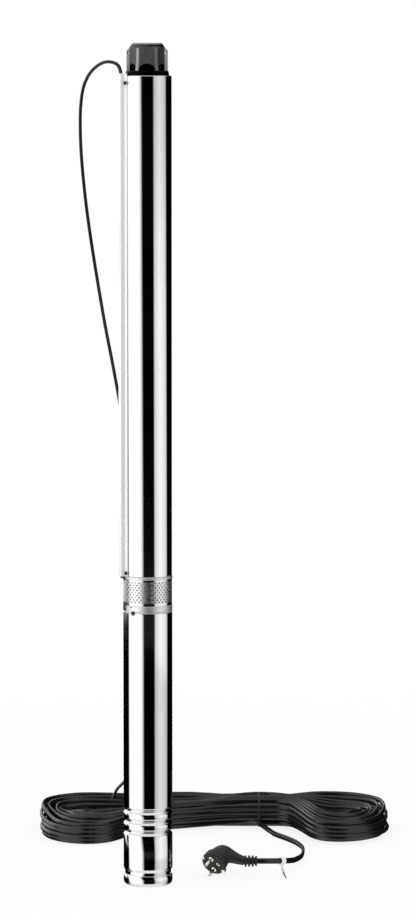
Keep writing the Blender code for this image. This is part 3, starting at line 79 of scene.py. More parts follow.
# %% Place the camera
PHOTO_HEIGHT = 921
FOCAL_PIXELS = 4281.0
LOOKING_DOWN = 4.822
scene = bpy.context.scene
camera = bpy.data.objects.new("camera", bpy.data.cameras.new("camera"))
scene.collection.objects.link(camera)
camera.location = (0.092, -6.5, 1.2)
camera.rotation_euler = (math.radians(90.0 - LOOKING_DOWN), 0.0, 0.0)
camera.data.sensor_width = 36.0
camera.data.lens = FOCAL_PIXELS * camera.data.sensor_width / PHOTO_HEIGHT
camera.data.clip_end = 100.0
scene.camera = camera
scene.view_settings.view_transform = "Standard"
print("lens", round(camera.data.lens, 1), "mm")

# %% [markdown]
# ## Helpers for meshes
#
# Most of the pump is turned work, so one helper draws half of a section and spins it round the axis.
# Another rounds the sharp edges a little, because an edge that is perfectly sharp catches no light. Sheet
# metal is made without thickness first and is thickened at the end. `finished` makes the mesh an object that
# rides on the pump's body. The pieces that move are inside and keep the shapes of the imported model.

# %% Turning, rounding and finishing a mesh
SMOOTH_ANGLE = math.radians(35.0)


def spun(outline, steps=96, bm=None, place=Matrix()):
    """A turned solid. The outline holds radius and height, and closes on itself or on the axis."""
    bm = bm or bmesh.new()
    points = [bm.verts.new((radius, 0.0, height)) for radius, height in outline]
    pairs = list(zip(points, points[1:]))
    if outline[0][0] > 0.0 or outline[-1][0] > 0.0:
        pairs.append((points[-1], points[0]))
    lines = [bm.edges.new(pair) for pair in pairs]
    before = set(bm.verts) - set(points)
    bmesh.ops.spin(bm, geom=points + lines, cent=(0, 0, 0), axis=(0, 0, 1), angle=2 * math.pi, steps=steps,
                   use_merge=True)
    made = [v for v in bm.verts if v not in before]
    bmesh.ops.remove_doubles(bm, verts=made, dist=0.000004)
    made = [v for v in bm.verts if v not in before]
    bmesh.ops.transform(bm, matrix=place, verts=made)
    return bm


def rounded(bm, edges, width, segments, clamped=False):
    bmesh.ops.bevel(bm, geom=edges, offset=width, offset_type="OFFSET", affect="EDGES", segments=segments,
                    profile=0.5, material=-1, clamp_overlap=clamped)
    return bm


def eased(bm, width, angle=30.0, segments=2):
    """Rounds every edge that is sharper than the angle."""
    bmesh.ops.recalc_face_normals(bm, faces=bm.faces)
    sharp = [e for e in bm.edges if len(e.link_faces) == 2 and e.calc_face_angle() > math.radians(angle)]
    return rounded(bm, sharp, width, segments, True)


def new_vertices(geometry):
    return [g for g in geometry if isinstance(g, bmesh.types.BMVert)]


def drawn_out(bm, edges):
    """Extrudes the edges. The new vertices it returns still lie on the old ones."""
    return new_vertices(bmesh.ops.extrude_edge_only(bm, edges=edges)["geom"])


def thickened(bm, wall):
    bmesh.ops.recalc_face_normals(bm, faces=bm.faces)
    bmesh.ops.solidify(bm, geom=bm.faces, thickness=wall)


def moved(x, y, z):
    return Matrix.Translation((x, y, z))


def turned_by(degrees):
    return Matrix.Rotation(math.radians(degrees), 4, "Z")


def boxed(bm, place, size):
    """Adds a box of that size on the place and returns its vertices."""
    return bmesh.ops.create_cube(bm, size=1.0, matrix=place @ Matrix.Diagonal((*size, 1.0)))["verts"]


def as_object(name, bm):
    mesh = bpy.data.meshes.new(name)
    bm.to_mesh(mesh)
    bm.free()
    item = bpy.data.objects.new(name, mesh)
    scene.collection.objects.link(item)
    return item


def loose(name, bm):
    """An object that isn't on any body yet. The boolean steps use and remove such objects."""
    bmesh.ops.recalc_face_normals(bm, faces=bm.faces)
    return as_object(name, bm)


def finished(name, bm, replaces=()):
    """Makes the mesh an object on the pump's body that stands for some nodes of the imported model."""
    item = loose(name, bm)
    item.data.shade_smooth()
    item.data.set_sharp_from_angle(angle=SMOOTH_ANGLE)
    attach(item, "pump")
    if replaces:
        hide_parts(*replaces)
    return item


def applied(item):
    """Turns an object's modifiers into its mesh."""
    graph = bpy.context.evaluated_depsgraph_get()
    graph.update()
    mesh = bpy.data.meshes.new_from_object(item.evaluated_get(graph))
    item.modifiers.clear()
    item.data = mesh
    return item


print("helpers ready")

# %% [markdown]
# ## The free cable
#
# A flat, black, three-core cable leaves the upper end of the steel guard, bends over, drops behind the pump
# and is wound into a long hank with a tie round its waist. Its last stretch runs over the floor to the
# mains plug. It is made first, because it decides how much room the object takes. A curve with a round
# bevel can't show a flat cable that twists, so a small oblong ring is set at every point of the route and
# each pair of rings is bridged.
#
# The hank is wound like a coil in five layers of five turns. Each turn is a blend between the outermost
# loop and the innermost one. The step to the next turn or layer is made at one place, on the far side of
# the left eye. The tie squeezes the turns into a round bundle, which a square grid of places mapped to a
# disc gives. Towards both eyes they spread: the near side slopes up to the eye and the far side down to it,
# so that both slopes show.

# %% The route's places
CABLE_WIDTH = 0.0090
CABLE_THICKNESS = 0.0052
GUARD_AZIMUTH = 198.0
GUARD_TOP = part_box("cable_guard")[1].z
LEAD_RADIUS = 0.0415
GUARD_MOUTH = turned_by(GUARD_AZIMUTH) @ Vector((LEAD_RADIUS, 0.0, GUARD_TOP))
RISER = [(-0.0418, -0.0115, 1.2478), (-0.0467, -0.0100, 1.2537), (-0.0583, -0.0070, 1.2567),
         (-0.0699, -0.0040, 1.2539), (-0.0816, -0.0010, 1.2453), (-0.0904, 0.0020, 1.2335),
         (-0.0972, 0.0050, 1.2164), (-0.1004, 0.0078, 1.1954), (-0.1017, 0.0100, 1.1744),
         (-0.1011, 0.0160, 1.1279), (-0.0971, 0.0250, 1.0732), (-0.0906, 0.0350, 1.0150),
         (-0.0805, 0.0520, 0.9439),
         (-0.0673, 0.0800, 0.8594), (-0.0554, 0.1150, 0.7908), (-0.0440, 0.1550, 0.7200),
         (-0.0350, 0.1900, 0.6540), (-0.0290, 0.2250, 0.5900), (-0.0240, 0.2650, 0.5100),
         (-0.0210, 0.3050, 0.4300), (-0.0198, 0.3430, 0.3500), (-0.0200, 0.3800, 0.2700),
         (-0.0230, 0.4120, 0.2080), (-0.0290, 0.4400, 0.1500), (-0.0350, 0.4580, 0.1140),
         (-0.0430, 0.5150, 0.0800), (-0.0600, 0.5480, 0.0560), (-0.0760, 0.5400, 0.0290)]
OUTER_LOOP = [(-0.181, 0.455), (-0.166, 0.392), (-0.138, 0.352), (-0.100, 0.338), (-0.066, 0.358),
              (-0.035, 0.411), (0.000, 0.444), (0.050, 0.470), (0.110, 0.485), (0.176, 0.490),
              (0.212, 0.468), (0.238, 0.405), (0.262, 0.354), (0.295, 0.338), (0.335, 0.350),
              (0.368, 0.388), (0.385, 0.440), (0.376, 0.500), (0.345, 0.548), (0.296, 0.568),
              (0.230, 0.562), (0.176, 0.556), (0.110, 0.561), (0.000, 0.569), (-0.100, 0.572),
              (-0.148, 0.552), (-0.174, 0.508)]
INNER_LOOP = [(-0.139, 0.458), (-0.130, 0.440), (-0.112, 0.428), (-0.090, 0.424), (-0.062, 0.430),
              (-0.034, 0.452), (-0.002, 0.480), (0.048, 0.506), (0.110, 0.5195), (0.176, 0.5205),
              (0.222, 0.507), (0.250, 0.462), (0.270, 0.432), (0.292, 0.416), (0.316, 0.416),
              (0.336, 0.430), (0.345, 0.452), (0.338, 0.476), (0.318, 0.492), (0.288, 0.498),
              (0.236, 0.512), (0.176, 0.5255), (0.110, 0.5257), (0.000, 0.518), (-0.096, 0.492),
              (-0.116, 0.488), (-0.132, 0.476)]
TAIL = [(0.1900, 0.4560, 0.0052), (0.2010, 0.4130, 0.0050), (0.2171, 0.3773, 0.0050),
        (0.2330, 0.3360, 0.0050), (0.2430, 0.2900, 0.0050), (0.2436, 0.2500, 0.0052),
        (0.2405, 0.2050, 0.0062), (0.2335, 0.1650, 0.0090), (0.2240, 0.1200, 0.0140),
        (0.2070, 0.0870, 0.0190), (0.1801, 0.0700, 0.0218), (0.1620, 0.0700, 0.0218)]
LAYERS = 5
TURNS_PER_LAYER = 5
STEPS_PER_TURN = 45
LAYER_PITCH = 0.0094
HANK_FLOOR = 0.0018
FIRST_SPAN = 24.2                # where on the loops the winding begins: the far side of the left eye
LAST_SPAN = 8.85                 # and where it ends: on the near side, at the tie
STEPPING_SHARE = 0.07            # last part of each turn, where the cable steps to the next turn
WAIST = 0.176                    # x of the tie
WAIST_CENTRE = (0.510, 0.0298)   # y and height of the round bundle inside the tie
WAIST_REACH = (0.0285, 0.0240)
TIED_HALF = 0.008                # the turns lie tightly up to here from the tie
LOOSENING = 0.125                # and are free after this further length
INSET = 0.0029                   # of the outermost turn inside the outermost loop
MIDDLE_LINE = 0.490              # y at which the near side's form begins
NEAR_SLOPE = (0.62, 0.03)        # share of the full height on the near side, and its change per turn inwards
FAR_SLOPE = (1.02, -0.085)
NEAR_SPLAY, FAR_SPLAY = 0.0046, 0.0034
LAYER_REACH = (-0.0030, 0.0025, 0.0005, 0.0032, -0.0022)
print("cable leaves the guard at", tuple(round(v, 4) for v in GUARD_MOUTH))


# %% The route as one smooth line
def on_spline(places, span, closed):
    """A place on the smooth line through the places. Whole spans are the places themselves."""
    first, t = int(math.floor(span)), span - math.floor(span)
    around = []
    for offset in (-1, 0, 1, 2):
        index = first + offset
        index = index % len(places) if closed else min(max(index, 0), len(places) - 1)
        around.append(Vector(places[index]))
    a, b, c, d = around
    straight = 2 * b + (c - a) * t
    return 0.5 * (straight + (2 * a - 5 * b + 4 * c - d) * t ** 2 + (3 * b - a - 3 * c + d) * t ** 3)


def eased_step(value):
    value = min(max(value, 0.0), 1.0)
    return value * value * (3 - 2 * value)


def hank_place(turns):
    """Where the cable lies after that many turns, counted from the top layer's innermost turn."""
    whole, share = int(turns), turns - int(turns)
    span = (FIRST_SPAN + share * len(OUTER_LOOP)) % len(OUTER_LOOP)
    layer, turn = divmod(whole, TURNS_PER_LAYER)
    outwards = layer % 2 == 0
    step = eased_step((share - 1 + STEPPING_SHARE) / STEPPING_SHARE)
    last_turn = turn == TURNS_PER_LAYER - 1
    depth = TURNS_PER_LAYER - 1 - turn if outwards else turn
    bulge = 0.0
    level = LAYERS - 1 - layer
    if last_turn:
        level -= step
        bulge = (-1 if outwards else 1) * 0.005 * math.sin(math.pi * step)
    else:
        depth += -step if outwards else step
    outer = on_spline([(*p, 0.0) for p in OUTER_LOOP], span, True)
    inner = on_spline([(*p, 0.0) for p in INNER_LOOP], span, True)
    inwards = (inner - outer).normalized()
    gap = (inner - outer).length - INSET
    freedom = eased_step((abs(outer.x - WAIST) - TIED_HALF) / LOOSENING)
    lower, upper = int(math.floor(level)), min(int(math.floor(level)) + 1, LAYERS - 1)
    reach = LAYER_REACH[max(lower, 0)] * (1 - level % 1) + LAYER_REACH[upper] * (level % 1)
    wander = (0.0007 + 0.0009 * depth) * math.sin(span * 1.31 + 2.1 * whole) * freedom
    near = eased_step((MIDDLE_LINE - (outer.y + inner.y) / 2) / 0.07)
    splay = (level - 2) * (NEAR_SPLAY * near - FAR_SPLAY * (1 - near)) * freedom
    along = INSET + gap * depth / (TURNS_PER_LAYER - 1) + bulge + wander + splay - reach * freedom
    place = outer + inwards * along
    lift = 0.0014 * math.sin(place.x * 21.0 + 0.7 + 1.7 * whole) * level / LAYERS
    slope = near * (NEAR_SLOPE[0] + NEAR_SLOPE[1] * depth)
    slope += (1 - near) * (FAR_SLOPE[0] + FAR_SLOPE[1] * depth)
    heap = LAYER_PITCH * level * slope + lift
    row = level / (LAYERS - 1) * 2 - 1
    column = (1 - depth / TURNS_PER_LAYER) * (1 if place.y > WAIST_CENTRE[0] else -1)
    tied_y = WAIST_CENTRE[0] + WAIST_REACH[0] * column * math.sqrt(1 - row * row / 2)
    tied_z = WAIST_CENTRE[1] + WAIST_REACH[1] * row * math.sqrt(1 - column * column / 2)
    free_z = HANK_FLOOR + LAYER_PITCH / 2 + heap
    return Vector((place.x, tied_y + (place.y - tied_y) * eased_step(freedom * 1.3),
                   tied_z + (free_z - tied_z) * freedom))


exit_point = Vector(GUARD_MOUTH)
controls = [exit_point + Vector((0, 0, 0.0006))]
controls += [Vector(place) for place in RISER]
riser_count = len(controls)
hank_turns = LAYERS * TURNS_PER_LAYER - 1 + (len(OUTER_LOOP) - FIRST_SPAN + LAST_SPAN) / len(OUTER_LOOP)
hank_steps = round(hank_turns * STEPS_PER_TURN)
controls += [hank_place(hank_turns * step / hank_steps) for step in range(1, hank_steps + 1)]
hank_end = len(controls)
controls += [Vector(place) for place in TAIL]
route, sideways = [], []
for span in range(len(controls) - 1):
    run = (controls[span + 1] - controls[span]).length
    pieces = max(2, round(run / 0.012)) if span < riser_count or span >= hank_end - 1 else 2
    twist = eased_step((span - riser_count) / 9.0)
    for step in range(pieces):
        route.append(on_spline(controls, span + step / pieces, False))
        sideways.append(Vector((0.0, 1.0, 0.0)).lerp(Vector((0.0, 0.12, 1.0)), twist))
route.append(controls[-1])
sideways.append(sideways[-1])
start_side = turned_by(GUARD_AZIMUTH) @ Vector((0.0, -1.0, 0.0))
for index in range(12):
    sideways[index] = start_side.lerp(sideways[index], index / 12.0)
cable_length = sum((b - a).length for a, b in zip(route, route[1:]))
print("cable", round(cable_length, 2), "m in", len(route), "points")


# %% A flat ring at every point, bridged to the next
def stand_across(place, ahead, side):
    """A frame at the place: its Z runs ahead, and its X lies as near to the side as it can."""
    across = (side - side.dot(ahead) * ahead).normalized()
    stand = Matrix((across, ahead.cross(across), ahead)).transposed().to_4x4()
    stand.translation = place
    return stand


def edges_of(ring):
    inside = set(ring)
    return [e for e in {e for v in ring for e in v.link_edges} if e.other_vert(e.verts[0]) in inside]


def heading(places, index):
    return (places[min(index + 1, len(places) - 1)] - places[max(index - 1, 0)]).normalized()


def bridged(bm, rings):
    for before, after in zip(rings, rings[1:]):
        bmesh.ops.bridge_loops(bm, edges=before + after)
    return bm


def swept(bm, places, sides, width, thickness, segments=12):
    """An oblong section drawn along the places. A side gives the direction of the section's width."""
    rings = []
    for index, (place, side) in enumerate(zip(places, sides)):
        last = index in (0, len(places) - 1)
        ring = bmesh.ops.create_circle(bm, cap_ends=last, segments=segments, radius=thickness / 2,
                                       matrix=Matrix.Rotation(math.pi / segments, 4, "Z"))["verts"]
        for vert in ring:
            vert.co.x *= width / thickness
        bmesh.ops.transform(bm, matrix=stand_across(place, heading(places, index), side), verts=ring)
        rings.append(edges_of(ring))
    return bridged(bm, rings)


cable = finished("cable", swept(bmesh.new(), route, sideways, CABLE_WIDTH, CABLE_THICKNESS),
                 replaces=("cord_riser", "cord_hank", "cord_tail"))
print("cable mesh", len(cable.data.polygons), "faces")

# %% [markdown]
# ## Ties
#
# A thin black tie holds the waist of the hank, and a white plastic clip with a loose wire end sits near the
# plug. Both are swept or turned like the rest of the cable's parts.

# %% The tie round the hank
TIE_HALF_WIDTH, TIE_HALF_HEIGHT = 0.0318, 0.0284
tie_line = []
for step in range(41):
    turn = 2 * math.pi * step / 40
    tie_line.append(Vector((WAIST, WAIST_CENTRE[0] + TIE_HALF_WIDTH * math.cos(turn),
                            WAIST_CENTRE[1] + TIE_HALF_HEIGHT * math.sin(turn))))
tie_sides = [Vector((1.0, 0.0, 0.0))] * len(tie_line)
hank_tie = finished("tie", swept(bmesh.new(), tie_line, tie_sides, 0.0028, 0.0012, 8), replaces=("hank_tie",))
print("tie", round(TIE_HALF_WIDTH * 2, 4), "by", round(TIE_HALF_HEIGHT * 2, 4), "m")

# %% The white clip on the last stretch
clip_low, clip_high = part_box("tail_tie")
clip_at = (clip_low + clip_high) / 2
nearest = min(range(len(route)), key=lambda i: (route[i] - clip_at).length)
along = (route[nearest + 1] - route[nearest - 1]).normalized()
clip_place = Matrix.Translation(route[nearest]) @ along.to_track_quat("Z", "Y").to_matrix().to_4x4()
clip = spun([(0.0059, 0.0044), (0.0059, -0.0044), (0.0040, -0.0044), (0.0040, 0.0044)], 32, place=clip_place)
eased(clip, 0.0005)
tail_clip = finished("clip", clip, replaces=("tail_tie",))
wire_start = route[nearest] + Vector((0.0, -0.0046, -0.0052))
WIRE_ENDS = [(0.2082, 0.1080, 0.0024), (0.2090, 0.0880, 0.0016), (0.2100, 0.0706, 0.0014),
             (0.2125, 0.0400, 0.0014)]
wire_line = [wire_start] + [Vector(place) for place in WIRE_ENDS]
wire_sides = [Vector((1.0, 0.3, 0.0))] * len(wire_line)
clip_tail = finished("clip_tail", swept(bmesh.new(), wire_line[:3], wire_sides, 0.0034, 0.0012, 8))
clip_wire = finished("clip_wire", swept(bmesh.new(), wire_line[2:], wire_sides, 0.0026, 0.0009, 8))
print("clip at", tuple(round(v, 4) for v in route[nearest]))

# %% [markdown]
# ## Mains plug
#
# The plug is an angled, moulded one: a round face with two pins, a thick shoulder that turns to the side,
# and a ribbed sleeve that saves the cable from sharp bends. The disc and the sleeve are turned, and the
# shoulder between them is a row of rings that shrink along a bent line.

# %% Disc, shoulder and ribbed sleeve
PLUG_FACE = Vector((0.0995, 0.0520, 0.0203))
PLUG_AXIS = Vector((-0.47, -0.77, -0.43)).normalized()
SLEEVE_START = Vector((0.1463, 0.0700, 0.0218))
SLEEVE_END = 0.0218
plug_stand = Matrix.Translation(PLUG_FACE) @ PLUG_AXIS.to_track_quat("Z", "Y").to_matrix().to_4x4()
disc = [(0.0, -0.0010), (0.0135, -0.0010), (0.0140, 0.0), (0.0182, 0.0), (0.0195, -0.0016), (0.0195, -0.0062),
        (0.0188, -0.0070), (0.0188, -0.0080), (0.0195, -0.0088), (0.0192, -0.0130), (0.0160, -0.0168),
        (0.0, -0.0172)]
plug = spun(disc, 48, place=plug_stand)
rib = SLEEVE_END / 8
sleeve = [(0.0, SLEEVE_END)]
for index in range(4):
    top = SLEEVE_END - 2 * rib * index
    wide = 0.0082 if index == 0 else 0.0090
    sleeve += [(wide - 0.0005, top), (wide, top - rib * 0.3), (wide - 0.0003, top - rib),
               (0.0055, top - rib * 1.2), (0.0055, top - rib * 1.8)]
sleeve += [(0.0066, 0.0), (0.0, -0.0002)]
sleeve_stand = Matrix.Translation(SLEEVE_START) @ Matrix.Rotation(math.pi / 2, 4, "Y")
spun(sleeve, 28, plug, sleeve_stand)
root = PLUG_FACE - PLUG_AXIS * 0.0120
knee = root - PLUG_AXIS * 0.0130 + Vector((0.0042, 0.0, 0.0010))
shoulder_line = [root, root.lerp(knee, 0.5), knee,
                 knee.lerp(SLEEVE_START, 0.33) + Vector((0.0, 0.0015, 0.0006)),
                 knee.lerp(SLEEVE_START, 0.66) + Vector((0.0, 0.0008, 0.0003)),
                 SLEEVE_START + Vector((0.0022, 0, 0))]
shoulder_sizes = [(0.0330, 0.0330), (0.0345, 0.0325), (0.0300, 0.0285), (0.0232, 0.0215), (0.0176, 0.0165),
                  (0.0140, 0.0140)]
fine_line = [on_spline(shoulder_line, step / 4, False) for step in range(21)]
fine_sizes = [on_spline([(*s, 0.0) for s in shoulder_sizes], step / 4, False) for step in range(21)]
rings = []
for index, (place, size) in enumerate(zip(fine_line, fine_sizes)):
    stand = stand_across(place, heading(fine_line, index), Vector((0, 0, 1)))
    ring = bmesh.ops.create_circle(plug, cap_ends=index in (0, 20), segments=24, radius=0.5,
                                   matrix=stand @ Matrix.Diagonal((size.x, size.y, 1.0, 1.0)))["verts"]
    rings.append(edges_of(ring))
bridged(plug, rings)
plug_body = finished("plug_moulding", plug, replaces=("plug_body",))
print("plug", len(plug_body.data.polygons), "faces")

# %% Pins with rounded tips, and the earth contact
pin_across = (Vector((0.0, 0.0, 1.0)) - PLUG_AXIS.z * PLUG_AXIS).normalized()
plug_turn = plug_stand.to_3x3().to_4x4()
PIN_OUTLINE = [(0.0, 0.0190), (0.0012, 0.0186), (0.0020, 0.0176), (0.0024, 0.0164), (0.0024, 0.0098),
               (0.0020, 0.0096), (0.0021, 0.0016), (0.0040, 0.0012), (0.0040, -0.0010), (0.0, -0.0010)]
pins = []
for name, side in (("plug_pin_upper", 1), ("plug_pin_lower", -1)):
    place = Matrix.Translation(PLUG_FACE + pin_across * side * 0.0095) @ plug_turn
    pins.append(finished(name.replace("plug_", "contact_"), spun(PIN_OUTLINE, 24, place=place),
                         replaces=(name,)))
earth_side = pin_across.cross(PLUG_AXIS)
earth_place = Matrix.Translation(PLUG_FACE + earth_side * 0.0095) @ plug_turn
earth_outline = [(0.0, -0.0002), (0.0016, -0.0002), (0.0018, 0.0004), (0.0030, 0.0004), (0.0032, -0.0012),
                 (0.0, -0.0012)]
pins.append(finished("contact_earth", spun(earth_outline, 24, place=earth_place),
                     replaces=("plug_earth_contact",)))
clamp = bmesh.new()
for along_pins, along_earth in ((-0.0120, 0.0148), (0.0100, -0.0152)):
    clamp_at = PLUG_FACE + pin_across * along_pins - PLUG_AXIS * 0.0034 + earth_side * along_earth
    boxed(clamp, Matrix.Translation(clamp_at) @ plug_turn, (0.0050, 0.0050, 0.0076))
eased(clamp, 0.0006)
pins.append(finished("contact_spring", clamp))
print("contacts", len(pins))

print("declared", round(cable_length, 2), "m")

# %% [markdown]
# ## Motor tube and end cap
#
# The motor tube is drawn steel. Three grooves are rolled into it over the lower bearing bracket, and its
# end is drawn in to a neck above the cap. On a polished tube a groove shows as a stack of bright and dark
# lenses, so the groove needs a true rounded section: a cosine in 17 points gives it.

# %% Turn the motor tube
MOTOR_RADIUS = 0.0375
NECK_RADIUS = 0.0353
WALL = 0.0015
GROOVES = (0.1158, 0.0994, 0.0830)
GROOVE_HALF = 0.0052
GROOVE_DEPTH = 0.0030
tube_low, tube_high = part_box("motor_shell")


def wall_outline(radius, neck, low, high):
    """The tube's section from its top down to its neck."""
    points = [(radius, high)]
    for centre in GROOVES:
        for step in range(-8, 9):
            share = step / 8
            depth = GROOVE_DEPTH * (1 + math.cos(math.pi * share)) / 2
            points.append((radius - depth, centre - share * GROOVE_HALF))
    curve_top = low + 0.0105
    for step in range(9):
        share = step / 8
        narrowing = math.cos(share * math.pi / 2) ** 1.2
        points.append((neck + (radius - neck) * narrowing, curve_top - 0.0065 * share))
    points.append((neck, low))
    return points


outside = wall_outline(MOTOR_RADIUS, NECK_RADIUS, tube_low.z, tube_high.z)
inside = wall_outline(MOTOR_RADIUS - WALL, NECK_RADIUS - WALL, tube_low.z, tube_high.z)
motor_tube = finished("motor_tube", spun(outside + inside[::-1], 128), replaces=("motor_shell",))
print("motor tube", len(motor_tube.data.polygons), "faces")

# %% Turn the end cap and the motor's top ring
cap_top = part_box("motor_end_cap")[1].z - 0.013
cap = [(0.0, 0.012), (0.0300, 0.012), (0.0300, cap_top + 0.013), (0.0335, cap_top + 0.013),
       (0.0335, cap_top - 0.0004), (0.0361, cap_top - 0.0004), (0.0371, cap_top - 0.0012),
       (0.0375, cap_top - 0.0030)]
for step in range(9):
    angle = step / 8 * math.pi / 2
    cap.append((0.0375 - 0.0058 * (1 - math.cos(angle)), 0.0068 * (1 - math.sin(angle))))
cap += [(0.0260, 0.0), (0.0250, 0.0008), (0.0, 0.0008)]
end_cap = finished("end_cap", spun(cap, 128), replaces=("motor_end_cap",))

COVER_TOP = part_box("motor_top_cover")[1].z
cover_low = COVER_TOP - 0.002
cover = [(0.0371, COVER_TOP), (0.0375, COVER_TOP - 0.0004), (0.0375, cover_low + 0.0004), (0.0371, cover_low),
         (0.0357, cover_low), (0.0357, cover_low - 0.076), (0.0178, cover_low - 0.076),
         (0.0178, cover_low - 0.0527), (0.0120, cover_low - 0.0527), (0.0120, COVER_TOP - 0.050),
         (0.0150, COVER_TOP - 0.050), (0.0150, COVER_TOP)]
top_ring = finished("motor_top_ring", spun(cover, 128), replaces=("motor_top_cover",))
print("cover top at", round(COVER_TOP, 4))

# %% [markdown]
# ## Suction bracket and strainer
#
# The bracket is a cast ring on the motor, four legs, and a ring that the pump tube sits on. The water
# enters between the legs, through a strainer: a thin strip with rows of small staggered holes, bent round
# the legs. The strip is made flat from one small tile with a hole, because a flat strip is easy to cut
# straight, and then every vertex is wrapped round the axis.

# %% The bracket
FLANGE_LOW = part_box("suction_bracket")[0].z
WINDOW_LOW = FLANGE_LOW + 0.0090
WINDOW_HIGH = WINDOW_LOW + 0.0405
LIP_HIGH = WINDOW_HIGH + 0.0038
lower_ring = [(0.0371, WINDOW_LOW), (0.0375, WINDOW_LOW - 0.0004), (0.0375, FLANGE_LOW + 0.0006),
              (0.0369, FLANGE_LOW), (0.0165, FLANGE_LOW), (0.0165, WINDOW_LOW)]
bracket = spun(lower_ring, 128)
upper_ring = [(0.0352, LIP_HIGH + 0.014), (0.0352, LIP_HIGH), (0.0375, LIP_HIGH), (0.0379, LIP_HIGH - 0.0004),
              (0.0379, WINDOW_HIGH + 0.0004), (0.0375, WINDOW_HIGH), (0.0270, WINDOW_HIGH),
              (0.0270, LIP_HIGH + 0.014)]
spun(upper_ring, 128, bracket)
for leg in range(4):
    leg_stand = turned_by(262.0 + 90.0 * leg) @ moved(0.0315, 0.0, (WINDOW_LOW + WINDOW_HIGH) / 2)
    boxed(bracket, leg_stand, (0.0084, 0.009, WINDOW_HIGH - WINDOW_LOW + 0.003))
suction = finished("suction_rings", bracket, replaces=("suction_bracket",))
print("window from", round(WINDOW_LOW, 4), "to", round(WINDOW_HIGH, 4))

# %% The strainer, tile by tile
STRAINER_RADIUS = 0.0371
STRAINER_WALL = 0.0007
STRAINER_GAP = 13.0              # degrees either side of the lead
HOLE_RADIUS = 0.00132
HOLE_PITCH = 0.0063
ROW_PITCH = 0.00369
ROWS = 9
strip_length = STRAINER_RADIUS * math.radians(360.0 - 2 * STRAINER_GAP)
holes_low = WINDOW_LOW + 0.00456


def tile(bm, x, y):
    """A small rectangle round a round hole."""
    hole = bmesh.ops.create_circle(bm, segments=8, radius=HOLE_RADIUS, matrix=moved(x, y, 0))["verts"]
    rim = bmesh.ops.create_circle(bm, segments=8, radius=1.0, matrix=moved(x, y, 0))["verts"]
    for vert in rim:
        across, up = vert.co.x - x, vert.co.y - y
        vert.co.x = x + (round(across * 1.2) * HOLE_PITCH / 2)
        vert.co.y = y + (round(up * 1.2) * ROW_PITCH / 2)
    loops = {e for v in hole + rim for e in v.link_edges}
    bmesh.ops.bridge_loops(bm, edges=list(loops))


strainer = bmesh.new()
columns = int(strip_length / HOLE_PITCH) + 2
for row in range(ROWS):
    for column in range(columns):
        tile(strainer, (column - 0.5 * (row % 2)) * HOLE_PITCH, holes_low + (row + 0.5) * ROW_PITCH)
bmesh.ops.remove_doubles(strainer, verts=strainer.verts, dist=0.00002)
for edge_x, keep_side in ((0.0, -1), (strip_length, 1)):
    bmesh.ops.bisect_plane(strainer, geom=strainer.verts[:] + strainer.edges[:] + strainer.faces[:],
                           plane_co=(edge_x, 0, 0), plane_no=(keep_side, 0, 0), clear_outer=True,
                           dist=0.00001)
holes_high = holes_low + ROWS * ROW_PITCH
for level, goal in ((holes_low, WINDOW_LOW + 0.0003), (holes_high, WINDOW_HIGH - 0.0003)):
    rim = [e for e in strainer.edges if len(e.link_faces) == 1]
    rim = [e for e in rim if all(abs(v.co.y - level) < 1e-5 for v in e.verts)]
    for vert in drawn_out(strainer, rim):
        vert.co.y = goal
for vert in strainer.verts:
    turn = math.radians(GUARD_AZIMUTH + STRAINER_GAP) + vert.co.x / STRAINER_RADIUS
    vert.co = Vector((STRAINER_RADIUS * math.cos(turn), STRAINER_RADIUS * math.sin(turn), vert.co.y))
thickened(strainer, STRAINER_WALL)
screen = finished("strainer", strainer, replaces=("intake_screen",))
print("strainer", len(screen.data.polygons), "faces,", ROWS, "rows")

# %% [markdown]
# ## Lead, gland and flange screws
#
# The motor's lead leaves through a rubber gland beside the strainer, steps outwards and climbs under the
# guard. It is the same flat cable as the free one, so the same sweep makes it. Below the guard a thin steel
# cover closes the strainer's gap over it. Two bolts hold the bracket on the motor. At the seam between the
# two rings a dark screw head and a small dark pin paint the shade of a bolt notch that isn't modelled.

# %% Gland and lead
gland_low, gland_high = FLANGE_LOW, FLANGE_LOW + 0.0140
gland = bmesh.new()
gland_stand = turned_by(GUARD_AZIMUTH) @ moved(0.0342, 0.0, (gland_low + gland_high) / 2)
boxed(gland, gland_stand, (0.0069, 0.0150, gland_high - gland_low))
eased(gland, 0.0018, 30.0, 3)
lead_gland = finished("gland", gland, replaces=("lead_gland",))

lead_places = [(0.0342, gland_high - 0.003), (0.0340, gland_high + 0.004), (0.0339, WINDOW_HIGH - 0.0090),
               (0.0345, WINDOW_HIGH - 0.0040), (0.0372, WINDOW_HIGH + 0.0008), (0.0403, LIP_HIGH + 0.0014),
               (LEAD_RADIUS, LIP_HIGH + 0.0080), (LEAD_RADIUS, 0.6000), (LEAD_RADIUS, 0.8000),
               (LEAD_RADIUS, 1.0000), (LEAD_RADIUS, GUARD_TOP + 0.0003)]
lead_line = [turned_by(GUARD_AZIMUTH) @ on_spline([(r, 0.0, h) for r, h in lead_places], step / 3, False)
             for step in range(28)]
lead_side = turned_by(GUARD_AZIMUTH) @ Vector((0.0, 1.0, 0.0))
motor_lead = finished("lead", swept(bmesh.new(), lead_line, [lead_side] * len(lead_line), 0.0088, 0.0046),
                      replaces=("motor_lead",))
cover_strip = bmesh.new()
STRIP_RADIUS = 0.0372
reach = math.radians(STRAINER_GAP + 0.8)
strip_line = []
for step in range(9):
    turn = math.radians(GUARD_AZIMUTH) + reach * (step / 4 - 1)
    strip_line.append(cover_strip.verts.new((STRIP_RADIUS * math.cos(turn), STRIP_RADIUS * math.sin(turn),
                                             gland_high + 0.0006)))
strip_edges = [cover_strip.edges.new(pair) for pair in zip(strip_line, strip_line[1:])]
